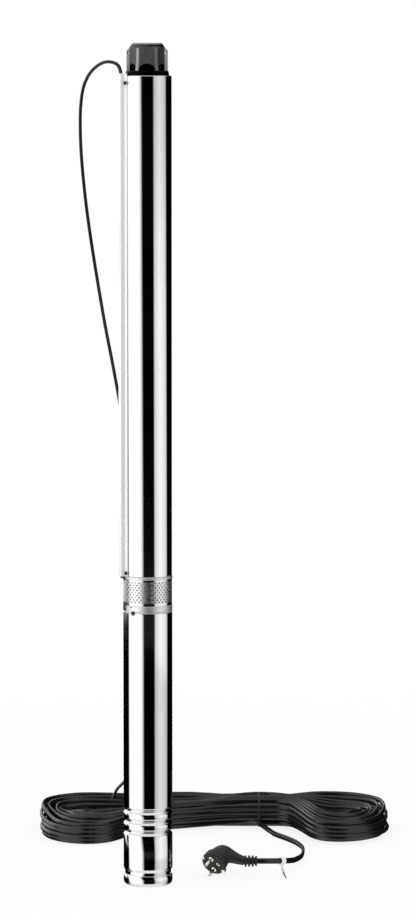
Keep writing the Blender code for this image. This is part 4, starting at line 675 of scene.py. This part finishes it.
bmesh.ops.translate(cover_strip, verts=drawn_out(cover_strip, strip_edges),
                    vec=(0.0, 0.0, WINDOW_HIGH - 0.0004 - gland_high - 0.0006))
thickened(cover_strip, 0.0004)
lead_cover = finished("lead_cover", cover_strip)
print("lead", len(motor_lead.data.polygons), "faces")


# %% Screws
def socket_screw(radius, height, socket):
    """The head of a socket screw, standing on the XY plane, with a round pocket sunk into its top."""
    side = [(radius * 0.92, height), (radius, height * 0.86), (radius, 0.0)]
    bm = spun([(0.0, height), *side, (0.0, 0.0)], 24)
    top = [f for f in bm.faces if f.normal.z > 0.9 or f.normal.z < -0.9]
    top = [f for f in top if all(v.co.z > height - 1e-6 for v in f.verts)]
    bmesh.ops.dissolve_faces(bm, faces=top)
    bm.faces.ensure_lookup_table()
    top = [f for f in bm.faces if len(f.verts) > 12 and f.calc_center_median().z > height - 1e-6]
    bmesh.ops.inset_region(bm, faces=top, thickness=radius - socket, use_even_offset=True)
    pocket = [f for f in bm.faces if len(f.verts) > 12 and f.calc_center_median().z > height - 1e-6]
    made = bmesh.ops.extrude_face_region(bm, geom=pocket)["geom"]
    bmesh.ops.delete(bm, geom=pocket, context="FACES_ONLY")
    for vert in new_vertices(made):
        vert.co.z -= height * 0.55
    return bm


def screw_piece(name, bm, place, replaces=()):
    bmesh.ops.transform(bm, matrix=place, verts=bm.verts)
    return finished(name, bm, replaces=replaces)


facing_out = Matrix.Rotation(math.pi / 2, 4, "Y")
for index, azimuth in enumerate((232.0, 52.0)):
    bolt_at = turned_by(azimuth) @ moved(0.0322, 0.0, WINDOW_LOW + 0.0003)
    screw_piece(f"bracket_bolt_{index + 1}", socket_screw(0.0042, 0.0035, 0.0022), bolt_at,
                (f"flange_bolt_{index + 1}",))
# painted shade: this dark screw head and the small dark pin after it stand for the shade in a bolt notch at
# the seam
screw_piece("seam_screw", socket_screw(0.0034, 0.0016, 0.0017),
            turned_by(234.0) @ moved(0.0369, 0.0, FLANGE_LOW - 0.0017) @ facing_out)
screw_piece("seam_pin", socket_screw(0.0013, 0.0010, 0.0007),
            turned_by(227.6) @ moved(0.0369, 0.0, FLANGE_LOW + 0.0071) @ facing_out)
for name in ("guard_screw_lower", "guard_screw_upper"):
    low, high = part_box(name)
    screw_middle = moved(0.0384, 0.0, (low.z + high.z) / 2)
    screw_piece(name.replace("guard_screw", "head_of_screw"), socket_screw(0.0028, 0.0018, 0.0014),
                turned_by(GUARD_AZIMUTH + 14.0) @ screw_middle @ facing_out, (name,))
print("screws done")

# %% [markdown]
# ## Pump tube and cable guard
#
# The pump tube is plain, but its two rims are slightly bevelled. The guard is a strip of thin steel folded
# into a hat section. A row of edges in the shape of the hat is extruded upwards, the folds are bevelled
# while the sheet has no thickness, and solidify then gives the same wall everywhere.

# %% Pump tube
SHELL_RADIUS = 0.0370
shell_low, shell_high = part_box("pump_shell")
tube = [(SHELL_RADIUS - 0.0005, shell_high.z), (SHELL_RADIUS, shell_high.z - 0.0006),
        (SHELL_RADIUS, shell_low.z + 0.0006), (SHELL_RADIUS - 0.0005, shell_low.z),
        (SHELL_RADIUS - WALL, shell_low.z), (SHELL_RADIUS - WALL, shell_high.z)]
pump_tube = finished("pump_tube", spun(tube, 128), replaces=("pump_shell",))
print("pump tube", round(shell_high.z - shell_low.z, 4), "m long")

# %% Cable guard
GUARD_WALL = 0.0008
GUARD_WIDTH = 0.0126
GUARD_CROWN = 0.0450
GUARD_SPREAD = 18.0              # degrees from its middle to the edge of its foot
guard_low, guard_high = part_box("cable_guard")
foot = SHELL_RADIUS + 0.0003 + GUARD_WALL / 2
half = GUARD_WIDTH / 2 - GUARD_WALL / 2
crown = GUARD_CROWN - GUARD_WALL / 2
bend = math.degrees(math.asin(half / foot))
hat = [(foot * math.cos(math.radians(a)), foot * math.sin(math.radians(a)))
       for a in [GUARD_SPREAD + (bend - GUARD_SPREAD) * i / 5 for i in range(6)]]
hat += [(crown, half), (crown, -half)]
hat += [(x, -y) for x, y in hat[:6][::-1]]
guard = bmesh.new()
line = [guard.verts.new(turned_by(GUARD_AZIMUTH) @ Vector((x, y, guard_low.z))) for x, y in hat]
edges = [guard.edges.new(pair) for pair in zip(line, line[1:])]
bmesh.ops.translate(guard, verts=drawn_out(guard, edges), vec=(0.0, 0.0, guard_high.z - guard_low.z))
folds = [e for e in guard.edges if len(e.link_faces) == 2 and e.calc_face_angle() > math.radians(25)]
rounded(guard, folds, 0.0014, 5)
thickened(guard, GUARD_WALL)
cable_guard = finished("guard", guard, replaces=("cable_guard",))
print("guard", round(guard_high.z - guard_low.z, 4), "m long")

# %% [markdown]
# ## Discharge head
#
# The head is a casting with six flats, so that a wrench can hold it. Each flat ends in an arched recess
# above the flange, and the ribs between the arches spread at their feet. Two ears with rope eyes stand at
# the sides, and the top takes a threaded pipe. The outside is a six-sided prism and a turned envelope that
# are intersected: that leaves the curved upper edge of each flat by itself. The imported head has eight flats.
# Six are this script's reading of the picture. Its rope eyes are turned by 15 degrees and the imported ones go
# straight through: a turned eye lets less of the white backdrop through.

# %% Prism, envelope, arches, ears and bore
HEAD_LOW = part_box("pump_shell")[1].z + 0.0003
HEAD_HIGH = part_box("discharge_head")[1].z
FLANGE_TOP = HEAD_LOW + 0.007
CORNER = 0.0295
RIB_MIDDLE = 0.0272
EAR_MIDDLE = 0.0262
EYE_RADIUS, EYE_OFFSET, EYE_TURN = 0.0019, 0.0274, 15.0
APOTHEM = CORNER * math.cos(math.pi / 6)


def combined(item, *others):
    """Joins, cuts or intersects an object with others, given as pairs of operation and object."""
    for operation, other in others:
        step = item.modifiers.new(operation, "BOOLEAN")
        step.operation, step.object, step.solver = operation, other, "EXACT"
    applied(item)
    for _, other in others:
        bpy.data.objects.remove(other, do_unlink=True)
    return item


prism = bmesh.new()
bmesh.ops.create_cone(prism, cap_ends=True, segments=6, radius1=CORNER, radius2=CORNER,
                      depth=HEAD_HIGH - FLANGE_TOP + 0.004,
                      matrix=moved(0, 0, (HEAD_HIGH + FLANGE_TOP - 0.004) / 2) @ turned_by(30.0))
uprights = [e for e in prism.edges if abs(e.verts[0].co.z - e.verts[1].co.z) > 0.01]
rounded(prism, uprights, 0.0016, 3)
prism = loose("head_prism", prism)
envelope = loose("head_envelope", spun([(0.0, HEAD_HIGH), (0.0221, HEAD_HIGH), (0.0228, HEAD_HIGH - 0.0007),
                                        (CORNER, HEAD_HIGH - 0.0102), (CORNER + 0.0006, HEAD_HIGH - 0.0120),
                                        (CORNER + 0.0006, HEAD_LOW + 0.002), (0.0, HEAD_LOW + 0.002)], 96))
head = combined(prism, ("INTERSECT", envelope))

arches = bmesh.new()
for facet in range(6):
    stand = turned_by(30.0 + 60.0 * facet) @ moved(APOTHEM, 0.0, FLANGE_TOP - 0.0028) @ facing_out
    bmesh.ops.create_cone(arches, cap_ends=True, segments=28, radius1=0.0128, radius2=0.0154, depth=0.0064,
                          matrix=stand)
arches = loose("head_arches", arches)
ribs = bmesh.new()
for corner in range(6):
    arch_rib = boxed(ribs, moved(RIB_MIDDLE, 0.0, FLANGE_TOP + 0.0065), (0.0052, 0.0024, 0.0150))
    for vert in arch_rib:
        if vert.co.z < FLANGE_TOP:
            vert.co.x += 0.0014 if vert.co.x > RIB_MIDDLE else 0.0
            vert.co.y *= 1.9
    bmesh.ops.transform(ribs, matrix=turned_by(60.0 * corner), verts=arch_rib)
ribs = loose("head_ribs", ribs)
combined(head, ("DIFFERENCE", arches), ("UNION", ribs))

ears = bmesh.new()
for side in (0.0, 180.0):
    ear = boxed(ears, moved(EAR_MIDDLE, 0.0, FLANGE_TOP + 0.0160), (0.0102, 0.0092, 0.0400))
    for vert in ear:
        if vert.co.z > FLANGE_TOP + 0.03 and vert.co.x > EAR_MIDDLE:
            vert.co.z -= 0.0042
    bmesh.ops.transform(ears, matrix=turned_by(side), verts=ear)
eased(ears, 0.0012, 30.0, 3)
ears = loose("head_ears", ears)
SPIGOT_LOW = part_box("discharge_head")[0].z
foot_outline = [(0.0, FLANGE_TOP), (0.0318, FLANGE_TOP), (0.0325, FLANGE_TOP - 0.0006),
                (0.0334, HEAD_LOW + 0.0004), (0.0334, HEAD_LOW), (0.0352, HEAD_LOW), (0.0352, SPIGOT_LOW),
                (0.0, SPIGOT_LOW)]
foot_ring = loose("head_foot", spun(foot_outline, 96))
bore = [(0.0, HEAD_HIGH + 0.002), (0.0212, HEAD_HIGH + 0.002), (0.0212, HEAD_HIGH),
        (0.0196, HEAD_HIGH - 0.0018)]
thread_low = SPIGOT_LOW + 0.034
thread_pitch = 0.0023
height = HEAD_HIGH - 0.0018
while height > thread_low:
    bore += [(0.0209, height - thread_pitch / 2), (0.0196, height - thread_pitch)]
    height -= thread_pitch
bore += [(0.0195, SPIGOT_LOW + 0.028), (0.0315, SPIGOT_LOW), (0.0315, SPIGOT_LOW - 0.001),
         (0.0, SPIGOT_LOW - 0.001)]
bore = loose("head_bore", spun(bore, 64))
eyes = bmesh.new()
for side in (-1, 1):
    eye_stand = moved(side * EYE_OFFSET, 0.0, FLANGE_TOP + 0.0273) @ turned_by(EYE_TURN * side)
    bmesh.ops.create_cone(eyes, cap_ends=True, segments=24, radius1=EYE_RADIUS, radius2=EYE_RADIUS,
                          depth=0.06, matrix=eye_stand @ Matrix.Rotation(math.pi / 2, 4, "X"))
eyes = loose("head_eyes", eyes)
combined(head, ("UNION", ears), ("UNION", foot_ring), ("DIFFERENCE", bore), ("DIFFERENCE", eyes))
head_mesh = bmesh.new()
head_mesh.from_mesh(head.data)
bpy.data.objects.remove(head, do_unlink=True)
bmesh.ops.remove_doubles(head_mesh, verts=head_mesh.verts, dist=0.00002)
head = finished("casting", head_mesh, replaces=("discharge_head",))
soften = head.modifiers.new("cast_edges", "BEVEL")
soften.width, soften.segments, soften.limit_method = 0.0005, 2, "ANGLE"
soften.angle_limit = math.radians(38.0)
print("head", len(head.data.polygons), "faces")

# %% [markdown]
# ## Shader helpers
#
# A material is a graph of nodes. Sums and products of sockets read best as plain expressions, so a small
# class wraps an output and adds a Math node for every operator. Every other node comes from one method,
# which takes the node's type, its settings and the values or links of its inputs.


# %% Expressions on sockets
class Wire:
    """One output in a material's graph. Operators on it add Math nodes."""

    def __init__(self, finish, socket):
        self.finish, self.socket = finish, socket

    def maths(self, operation, first, second):
        return self.finish.maths(operation, first, second)

    def __add__(self, other):
        return self.maths("ADD", self, other)

    def __radd__(self, other):
        return self.maths("ADD", other, self)

    def __sub__(self, other):
        return self.maths("SUBTRACT", self, other)

    def __rsub__(self, other):
        return self.maths("SUBTRACT", other, self)

    def __mul__(self, other):
        return self.maths("MULTIPLY", self, other)

    def __truediv__(self, other):
        return self.maths("DIVIDE", self, other)

    def __pow__(self, other):
        return self.maths("POWER", self, other)


class Finish:
    """A material or a world in the making, with its node tree."""

    def __init__(self, owner):
        owner.use_nodes = True
        self.owner, self.tree = owner, owner.node_tree

    def node(self, kind, settings=None, inputs=None, output=0):
        made = self.tree.nodes.new(kind)
        for key, value in (settings or {}).items():
            if key == "stops":
                ramp = made.color_ramp
                while len(ramp.elements) > 1:
                    ramp.elements.remove(ramp.elements[0])
                ramp.elements[0].position = value[0][0]
                for stop in value[1:]:
                    ramp.elements.new(stop[0])
                for element, stop in zip(ramp.elements, value):
                    element.color = (*stop[1], 1.0) if hasattr(stop[1], "__len__") else (*[stop[1]] * 3, 1.0)
            else:
                setattr(made, key, value)
        for key, value in (inputs or {}).items():
            if isinstance(value, Wire):
                self.tree.links.new(value.socket, made.inputs[key])
            else:
                made.inputs[key].default_value = value
        return Wire(self, made.outputs[output])

    def place(self, scale=(1.0, 1.0, 1.0)):
        """Object coordinates, stretched per axis."""
        where = self.node("ShaderNodeTexCoord", output="Object")
        return self.node("ShaderNodeMapping", None, {"Vector": where, "Scale": scale})

    def noise(self, scale, detail=3.0, stretch=(1.0, 1.0, 1.0)):
        return self.node("ShaderNodeTexNoise", None,
                         {"Vector": self.place(stretch), "Scale": scale, "Detail": detail})

    def blend(self, share, first, second):
        """A colour between two colours."""
        first = (*first, 1.0) if isinstance(first, tuple) else first
        second = (*second, 1.0) if isinstance(second, tuple) else second
        return self.node("ShaderNodeMix", {"data_type": "RGBA"}, {0: share, 6: first, 7: second}, output=2)

    def between(self, share, low, high):
        return share * (high - low) + low

    def maths(self, operation, first, second):
        return self.node("ShaderNodeMath", {"operation": operation}, {0: first, 1: second})

    def ramp(self, value, start, end, low=0.0, high=1.0):
        """Goes smoothly from one value to another while its input goes from start to end."""
        return self.node("ShaderNodeMapRange", {"interpolation_type": "SMOOTHSTEP"},
                         {"Value": value, "From Min": start, "From Max": end, "To Min": low, "To Max": high})

    def parts(self):
        """The three object coordinates."""
        split = self.node("ShaderNodeSeparateXYZ", None, {0: self.place()}).socket.node
        return [Wire(self, split.outputs[i]) for i in range(3)]

    def size(self, value):
        return self.maths("ABSOLUTE", value, 0.0)

    def largest(self, first, *others):
        for other in others:
            first = self.maths("MAXIMUM", first, other)
        return first

    def surface(self, colour, roughness, height=None, strength=0.1, distance=0.0002, metallic=0.0,
                specular=None):
        shader = self.tree.nodes["Principled BSDF"]
        for socket, value in (("Base Color", colour), ("Roughness", roughness), ("Metallic", metallic)):
            if isinstance(value, Wire):
                self.tree.links.new(value.socket, shader.inputs[socket])
            else:
                shader.inputs[socket].default_value = value
        if specular is not None:
            shader.inputs["Specular IOR Level"].default_value = specular
        if height is not None:
            bump = self.node("ShaderNodeBump", None,
                             {"Strength": strength, "Distance": distance, "Height": height})
            self.tree.links.new(bump.socket, shader.inputs["Normal"])
        return self.owner


def finish(name):
    return Finish(bpy.data.materials.new(name))


def plain_finish(name, pattern, dark, light, rough, strength, distance=0.0002, metallic=0.0):
    """One pattern drives colour, roughness and bump: a noise, or bands along Z where it is a dict."""
    made = finish(name)
    if isinstance(pattern, dict):
        grain = made.node("ShaderNodeTexWave", {"bands_direction": "Z", "wave_type": "BANDS"},
                          {"Vector": made.place(), **pattern})
    else:
        grain = made.noise(*pattern)
    return made.surface(made.blend(grain, dark, light), made.between(grain, *rough), grain, strength,
                        distance, metallic)


print("shader helpers ready")

# %% [markdown]
# ## Steel finishes
#
# The tubes are polished: their roughness is low, and what one sees is the studio. Fine rings from the
# polishing wheel run round the tube, so a noise that is squeezed along Z drives the roughness and a very
# weak bump. The strainer and the rings have the same steel with a coarser grain. The guard's finish is only
# partly metallic, because the picture shows it nearly white.

# %% Polished and brushed steel
mirror = finish("polished_steel")
wheel_marks = mirror.noise(9.0, 3.0, (1.0, 1.0, 160.0))
cloud = mirror.noise(14.0, 4.0)
polished = mirror.surface(mirror.blend(cloud, (0.76, 0.76, 0.77), (0.86, 0.86, 0.87)),
                          mirror.between(wheel_marks, 0.035, 0.075) + mirror.between(cloud, 0.0, 0.03),
                          wheel_marks, 0.012, 0.0001, metallic=1.0)

brushed = finish("brushed_steel")
grain = brushed.noise(12.0, 4.0, (1.0, 1.0, 90.0))
stain = brushed.noise(40.0, 5.0)
satin = brushed.surface(brushed.blend(stain, (0.66, 0.66, 0.67), (0.80, 0.80, 0.81)),
                        brushed.between(grain, 0.12, 0.24), grain, 0.05, 0.0001, metallic=1.0)

ring_steel = plain_finish("ring_steel", (30.0, 4.0, (1.0, 1.0, 40.0)), (0.84, 0.84, 0.85), (0.92, 0.92, 0.93),
                          (0.40, 0.52), 0.03, 0.0001, metallic=1.0)

pierced = finish("strainer_steel")
flecks = pierced.noise(220.0, 4.0)
strip_height = pierced.parts()[2]
holed = pierced.ramp(strip_height, holes_low - 0.0004, holes_low + 0.0006)
holed = holed * pierced.ramp(strip_height, holes_high + 0.0004, holes_high - 0.0006)
strainer_steel = pierced.surface(pierced.blend(flecks, (0.72, 0.72, 0.73), (0.90, 0.90, 0.91)),
                                 holed * 0.20 + pierced.between(flecks, 0.08, 0.16), flecks, 0.06, 0.0001,
                                 metallic=1.0)

folded = finish("guard_steel")
rolled = folded.noise(30.0, 3.0, (1.0, 1.0, 0.03))
smudge = folded.noise(18.0, 4.0)
guard_steel = folded.surface(folded.blend(smudge, (0.94, 0.94, 0.945), (0.97, 0.97, 0.975)),
                             folded.between(rolled, 0.16, 0.24), rolled, 0.02, 0.0001, metallic=0.3)
print("steels", polished.name, satin.name, guard_steel.name)

# %% [markdown]
# ## Casting, rubber and plastic
#
# The head is a casting with a black coat. Its skin has small grains and larger waves. Its corners, ears and
# top rim carry a painted highlight, stronger on the left, and its right side carries painted shade. The arched
# recesses, the flange before them and the upper bevel are painted near black, as painted shade. The cable's
# sheath is smoother, with a faint grain. The plug's rubber has a finer, duller skin.

# %% Dark finishes
cast = finish("black_casting")
sand = cast.noise(900.0, 4.0)
waves = cast.noise(90.0, 3.0)
x, y, height = cast.parts()
radius = (x * x + y * y) ** 0.5
facing = [x * math.cos(math.radians(a)) + y * math.sin(math.radians(a)) for a in (30.0, 90.0, 150.0)]
reach = cast.largest(*[cast.size(value) for value in facing])
# painted shade: the arched recesses, the flange top before them and the upper bevel, darker to the right, go
# to near black
low_part = cast.ramp(height, FLANGE_TOP + 0.0145, FLANGE_TOP + 0.0135)
hollow = cast.ramp(reach, APOTHEM - 0.0002, APOTHEM - 0.0007) * low_part * cast.ramp(radius, 0.0277, 0.0272)
foot = cast.ramp(height, FLANGE_TOP + 0.0008, FLANGE_TOP)
bevelled = cast.ramp(height, HEAD_HIGH - 0.0062, HEAD_HIGH - 0.0050)
bevelled = bevelled * cast.ramp(height, HEAD_HIGH - 0.0022, HEAD_HIGH - 0.0028)
bevelled = bevelled * cast.ramp(x, -0.004, 0.006, 0.45, 0.95)
shade = cast.largest(hollow, foot, bevelled)
# painted highlight: the corners (stronger on the left), the ears and the top rim are blended to a lighter grey
corner_highlight = cast.ramp(radius, 0.0280, 0.0284) * cast.ramp(x, 0.012, -0.010, 0.35, 1.0)
ear_highlight = cast.ramp(cast.size(x), 0.0225, 0.0232) * cast.ramp(cast.size(y), 0.0052, 0.0048)
rim_highlight = cast.ramp(height, HEAD_HIGH - 0.0024, HEAD_HIGH - 0.0018) * 0.7
painted_highlight = cast.largest(corner_highlight, ear_highlight, rim_highlight) * (1.0 - foot)
# painted shade: the right side is blended towards black
right_side_shade = cast.ramp(x, 0.0120, 0.0150) * (1.0 - painted_highlight) * 0.55
paint = cast.blend(waves, (0.032, 0.032, 0.034), (0.070, 0.070, 0.073))
# the coat's colour with the painted highlight and the painted shade blended in
paint_with_painted_light = cast.blend(right_side_shade, cast.blend(painted_highlight, paint, (0.32, 0.32, 0.325)), (0.008, 0.008, 0.009))
black_casting = cast.surface(cast.blend(shade, paint_with_painted_light, (0.004, 0.004, 0.004)), cast.between(waves, 0.34, 0.50),
                             sand * 0.6 + waves, 0.16, 0.0004, metallic=shade)

sheath = finish("cable_sheath")
skin = sheath.noise(160.0, 4.0)
patches = sheath.noise(26.0, 3.0)
cable_sheath = sheath.surface(sheath.blend(patches, (0.004, 0.004, 0.0045), (0.009, 0.009, 0.0095)),
                              sheath.between(patches, 0.22, 0.30), skin, 0.05, 0.0002)

rubber = finish("black_rubber")
pores = rubber.noise(700.0, 3.0)
dust = rubber.noise(60.0, 4.0)
black_rubber = rubber.surface(rubber.blend(dust, (0.006, 0.006, 0.0065), (0.014, 0.014, 0.015)),
                              rubber.between(dust, 0.45, 0.62), pores, 0.10, 0.0002)
print("dark finishes ready")

# %% Light plastics, brass, copper and iron
white_plastic = plain_finish("white_plastic", (120.0, 3.0), (0.86, 0.86, 0.85), (0.93, 0.93, 0.92),
                             (0.35, 0.50), 0.05)
stage_plastic = plain_finish("stage_plastic", (500.0, 4.0), (0.66, 0.64, 0.57), (0.78, 0.76, 0.70),
                             (0.42, 0.58), 0.10)
brass = plain_finish("brass", (20.0, 3.0, (1.0, 1.0, 60.0)), (0.66, 0.47, 0.20), (0.80, 0.62, 0.32),
                     (0.18, 0.34), 0.05, 0.0001, metallic=1.0)
copper = plain_finish("copper_winding", {"Scale": 420.0, "Distortion": 1.5, "Detail": 2.0},
                      (0.36, 0.13, 0.05), (0.72, 0.33, 0.15), (0.28, 0.45), 0.30, 0.0004, metallic=0.8)
laminations = plain_finish("laminations", {"Scale": 320.0, "Distortion": 0.2},
                           (0.13, 0.13, 0.14), (0.30, 0.30, 0.31), (0.35, 0.55), 0.25, 0.0003, metallic=0.9)
dark_screw = plain_finish("dark_screw", (300.0, 4.0), (0.02, 0.02, 0.021), (0.07, 0.07, 0.072),
                          (0.28, 0.45), 0.08, metallic=0.85)
plated_contact = plain_finish("plated_contact", (200.0, 3.0), (0.78, 0.75, 0.62), (0.90, 0.88, 0.78),
                              (0.14, 0.26), 0.03, 0.0001, metallic=1.0)
seal_ceramic = plain_finish("seal_ceramic", (260.0, 4.0), (0.70, 0.68, 0.62), (0.84, 0.82, 0.77),
                            (0.22, 0.40), 0.04, 0.0001)
print("all finishes ready")

# %% [markdown]
# ## Handing out the finishes
#
# The new pieces take their material directly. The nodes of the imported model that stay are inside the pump:
# they show in an open view, so each gets a finish of its own kind too.

# %% New pieces and kept nodes
given = {
    polished: [motor_tube, end_cap, pump_tube],
    ring_steel: [suction, top_ring],
    strainer_steel: [screen],
    satin: [lead_cover],
    guard_steel: [cable_guard],
    black_casting: [head],
    cable_sheath: [cable, motor_lead],
    black_rubber: [plug_body, lead_gland, hank_tie],
    white_plastic: [tail_clip, clip_tail],
    plated_contact: pins,
    dark_screw: [clip_wire] + [o for o in bpy.data.objects if "bolt" in o.name or "seam_" in o.name
                               or o.name.startswith("head_of_screw")],
}
for material, items in given.items():
    for item in items:
        if item.type == "MESH" and "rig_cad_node" not in item:
            item.data.materials.clear()
            item.data.materials.append(material)

kinds = [("impellers", stage_plastic), ("bowls", stage_plastic), ("bearing_cage", brass), ("bearing", satin),
         ("stator_winding", copper), ("stator_core", laminations), ("rotor_core", laminations),
         ("capacitor", white_plastic), ("bracket", dark_screw), ("seal_stationary", seal_ceramic),
         ("seal_rotating", black_rubber), ("slinger", black_rubber), ("poppet", black_rubber),
         ("bush", black_rubber), ("valve_seat", brass), ("valve_guide", brass), ("spider", satin),
         ("sleeve", satin)]
for name, node in frame["nodes"].items():
    material = next((kind for word, kind in kinds if word in name), satin)
    node.data.materials.clear()
    node.data.materials.append(material)
print("finishes on", len(frame["nodes"]), "nodes")

# %% [markdown]
# ## Studio
#
# Polished steel shows its surroundings and little else. In the picture every tube carries a dark stripe
# down its middle, a white band on both sides of it, and dark edges: the room in front of the pump is dark,
# two tall white panels stand beside the camera, and the room behind is dark again. The stripes drift with
# height, so the panels lean. One more screen stands behind on the left, but not low down. The gap between it
# and the left panel is filled too, except at the heights at which the picture has a dark line beside the
# guard. Low in front there is a faint gleam, and steeply above and below all is nearly white.
#
# The world holds that room for glossy rays alone. All other rays see an even white, which keeps the light
# plain, and camera rays see a white backdrop. The room suits this camera, and from other sides the steel
# shows it as it comes.

# %% The room as the steel sees it
world = bpy.data.worlds.new("studio")
scene.world = world
room = Finish(world)
for node in list(room.tree.nodes):
    room.tree.nodes.remove(node)
direction = room.node("ShaderNodeTexCoord", output="Generated")
split = room.node("ShaderNodeSeparateXYZ", None, {0: direction}).socket.node
x, y, z = (Wire(room, split.outputs[i]) for i in range(3))
degrees = 180.0 / math.pi
azimuth = room.maths("ARCTAN2", x, y * -1.0) * degrees
elevation = room.maths("ARCSINE", z, 0.0) * degrees
lean_range = room.maths("MINIMUM", room.maths("MAXIMUM", elevation, -7.0), 1.0) + 2.0
lean_share = 1.15 - room.ramp(azimuth, 0.0, 25.0) * 0.63 + room.ramp(azimuth, 50.0, 95.0) * 0.4
leaning = azimuth + lean_range * lean_share
PANELS = [(-180, 0.0), (-108, 0.0), (-102, 1.30), (-40, 1.30), (-30, 0.80), (-23, 0.0), (29, 0.0), (34, 0.55),
          (39, 0.66), (60, 0.88), (88, 0.70), (99, 0.45), (102, 0.0), (180, 0.0)]
stops = [((angle + 180) / 360, value) for angle, value in PANELS]
around = room.node("ShaderNodeValToRGB", {"stops": stops}, {0: (leaning + 180.0) / 360.0})
right_side = room.ramp(azimuth, 0.0, 20.0)
right_gain = 1.0 + room.ramp(elevation, -0.3, -2.2) * room.ramp(elevation, -10.2, -9.6) * right_side * 0.32
higher = room.ramp(elevation, -7.2, -5.8)
screen_behind = higher * room.ramp(azimuth, -117.0, -121.0) * 1.25
slit = room.ramp(elevation, -1.2, -2.8) * room.ramp(elevation, -6.4, -5.4) * 0.85 + 0.15
guard_band = room.ramp(azimuth, -100.0, -103.0) * room.ramp(azimuth, -122.0, -118.0)
beside_guard = higher * guard_band * (1.0 - slit) * 0.8
in_front = room.ramp(room.size(azimuth), 60.0, 50.0)
low_gleam = (1.0 - higher) * room.ramp(elevation, -9.2, -8.7) * in_front * 0.016
panels = room.largest(around * right_gain, screen_behind, beside_guard) + low_gleam
steep = room.ramp(room.size(elevation), 26.0, 52.0)
seen_in_steel = room.blend(steep, panels, (0.95, 0.95, 0.95))
rays = room.node("ShaderNodeLightPath", output="Is Glossy Ray")
whole = room.blend(rays, (0.92, 0.92, 0.92), seen_in_steel)
camera_rays = Wire(room, rays.socket.node.outputs["Is Camera Ray"])
final = room.blend(camera_rays, whole, (1.0, 1.0, 1.0))
background = room.node("ShaderNodeBackground", None, {"Color": final, "Strength": 1.0})
output = room.tree.nodes.new("ShaderNodeOutputWorld")
room.tree.links.new(background.socket, output.inputs["Surface"])
print("panels", len(PANELS), "stops")

# %% [markdown]
# A large soft lamp high up on the left gives the shadow under the coil a direction. Mirrors don't see
# it. The floor is pale, and part of what the camera sees of it is its own light, so that it joins the white
# backdrop.

# %% Lamp and floor
lamp = bpy.data.objects.new("overhead", bpy.data.lights.new("overhead", "AREA"))
lamp.data.shape, lamp.data.size, lamp.data.size_y, lamp.data.energy = "RECTANGLE", 2.4, 2.4, 26.0
lamp.location = (-1.4, -1.2, 3.4)
lamp.rotation_euler = (Vector((0, 0.2, 0.3)) - lamp.location).to_track_quat("-Z", "Y").to_euler()
lamp.visible_glossy = False
scene.collection.objects.link(lamp)

floor_bm = bmesh.new()
bmesh.ops.create_grid(floor_bm, x_segments=4, y_segments=4, size=30.0)
floor = as_object("floor", floor_bm)
floor.visible_glossy = False
paper = finish("floor_paper")
fibre = paper.noise(30.0, 2.0)
paper.surface(paper.blend(fibre, (0.88, 0.88, 0.88), (0.92, 0.92, 0.92)), 0.9, specular=0.0)
sheet_shader = Wire(paper, paper.tree.nodes["Principled BSDF"].outputs[0])
glow = paper.node("ShaderNodeEmission", None, {"Color": (1.0, 1.0, 1.0, 1.0), "Strength": 1.0})
seen = paper.node("ShaderNodeLightPath", output="Is Camera Ray")
floor_x, floor_y, _ = paper.parts()
glowing = paper.ramp((floor_x * floor_x + floor_y * floor_y) ** 0.5, 0.8, 3.0, 0.86, 1.0)
mixed = paper.node("ShaderNodeMixShader", None, {0: seen * glowing, 1: sheet_shader, 2: glow})
paper.tree.links.new(mixed.socket, paper.tree.nodes["Material Output"].inputs["Surface"])
floor.data.materials.append(paper.owner)
print("floor and lamp ready")

# %% Update the view layer
bpy.context.view_layer.update()
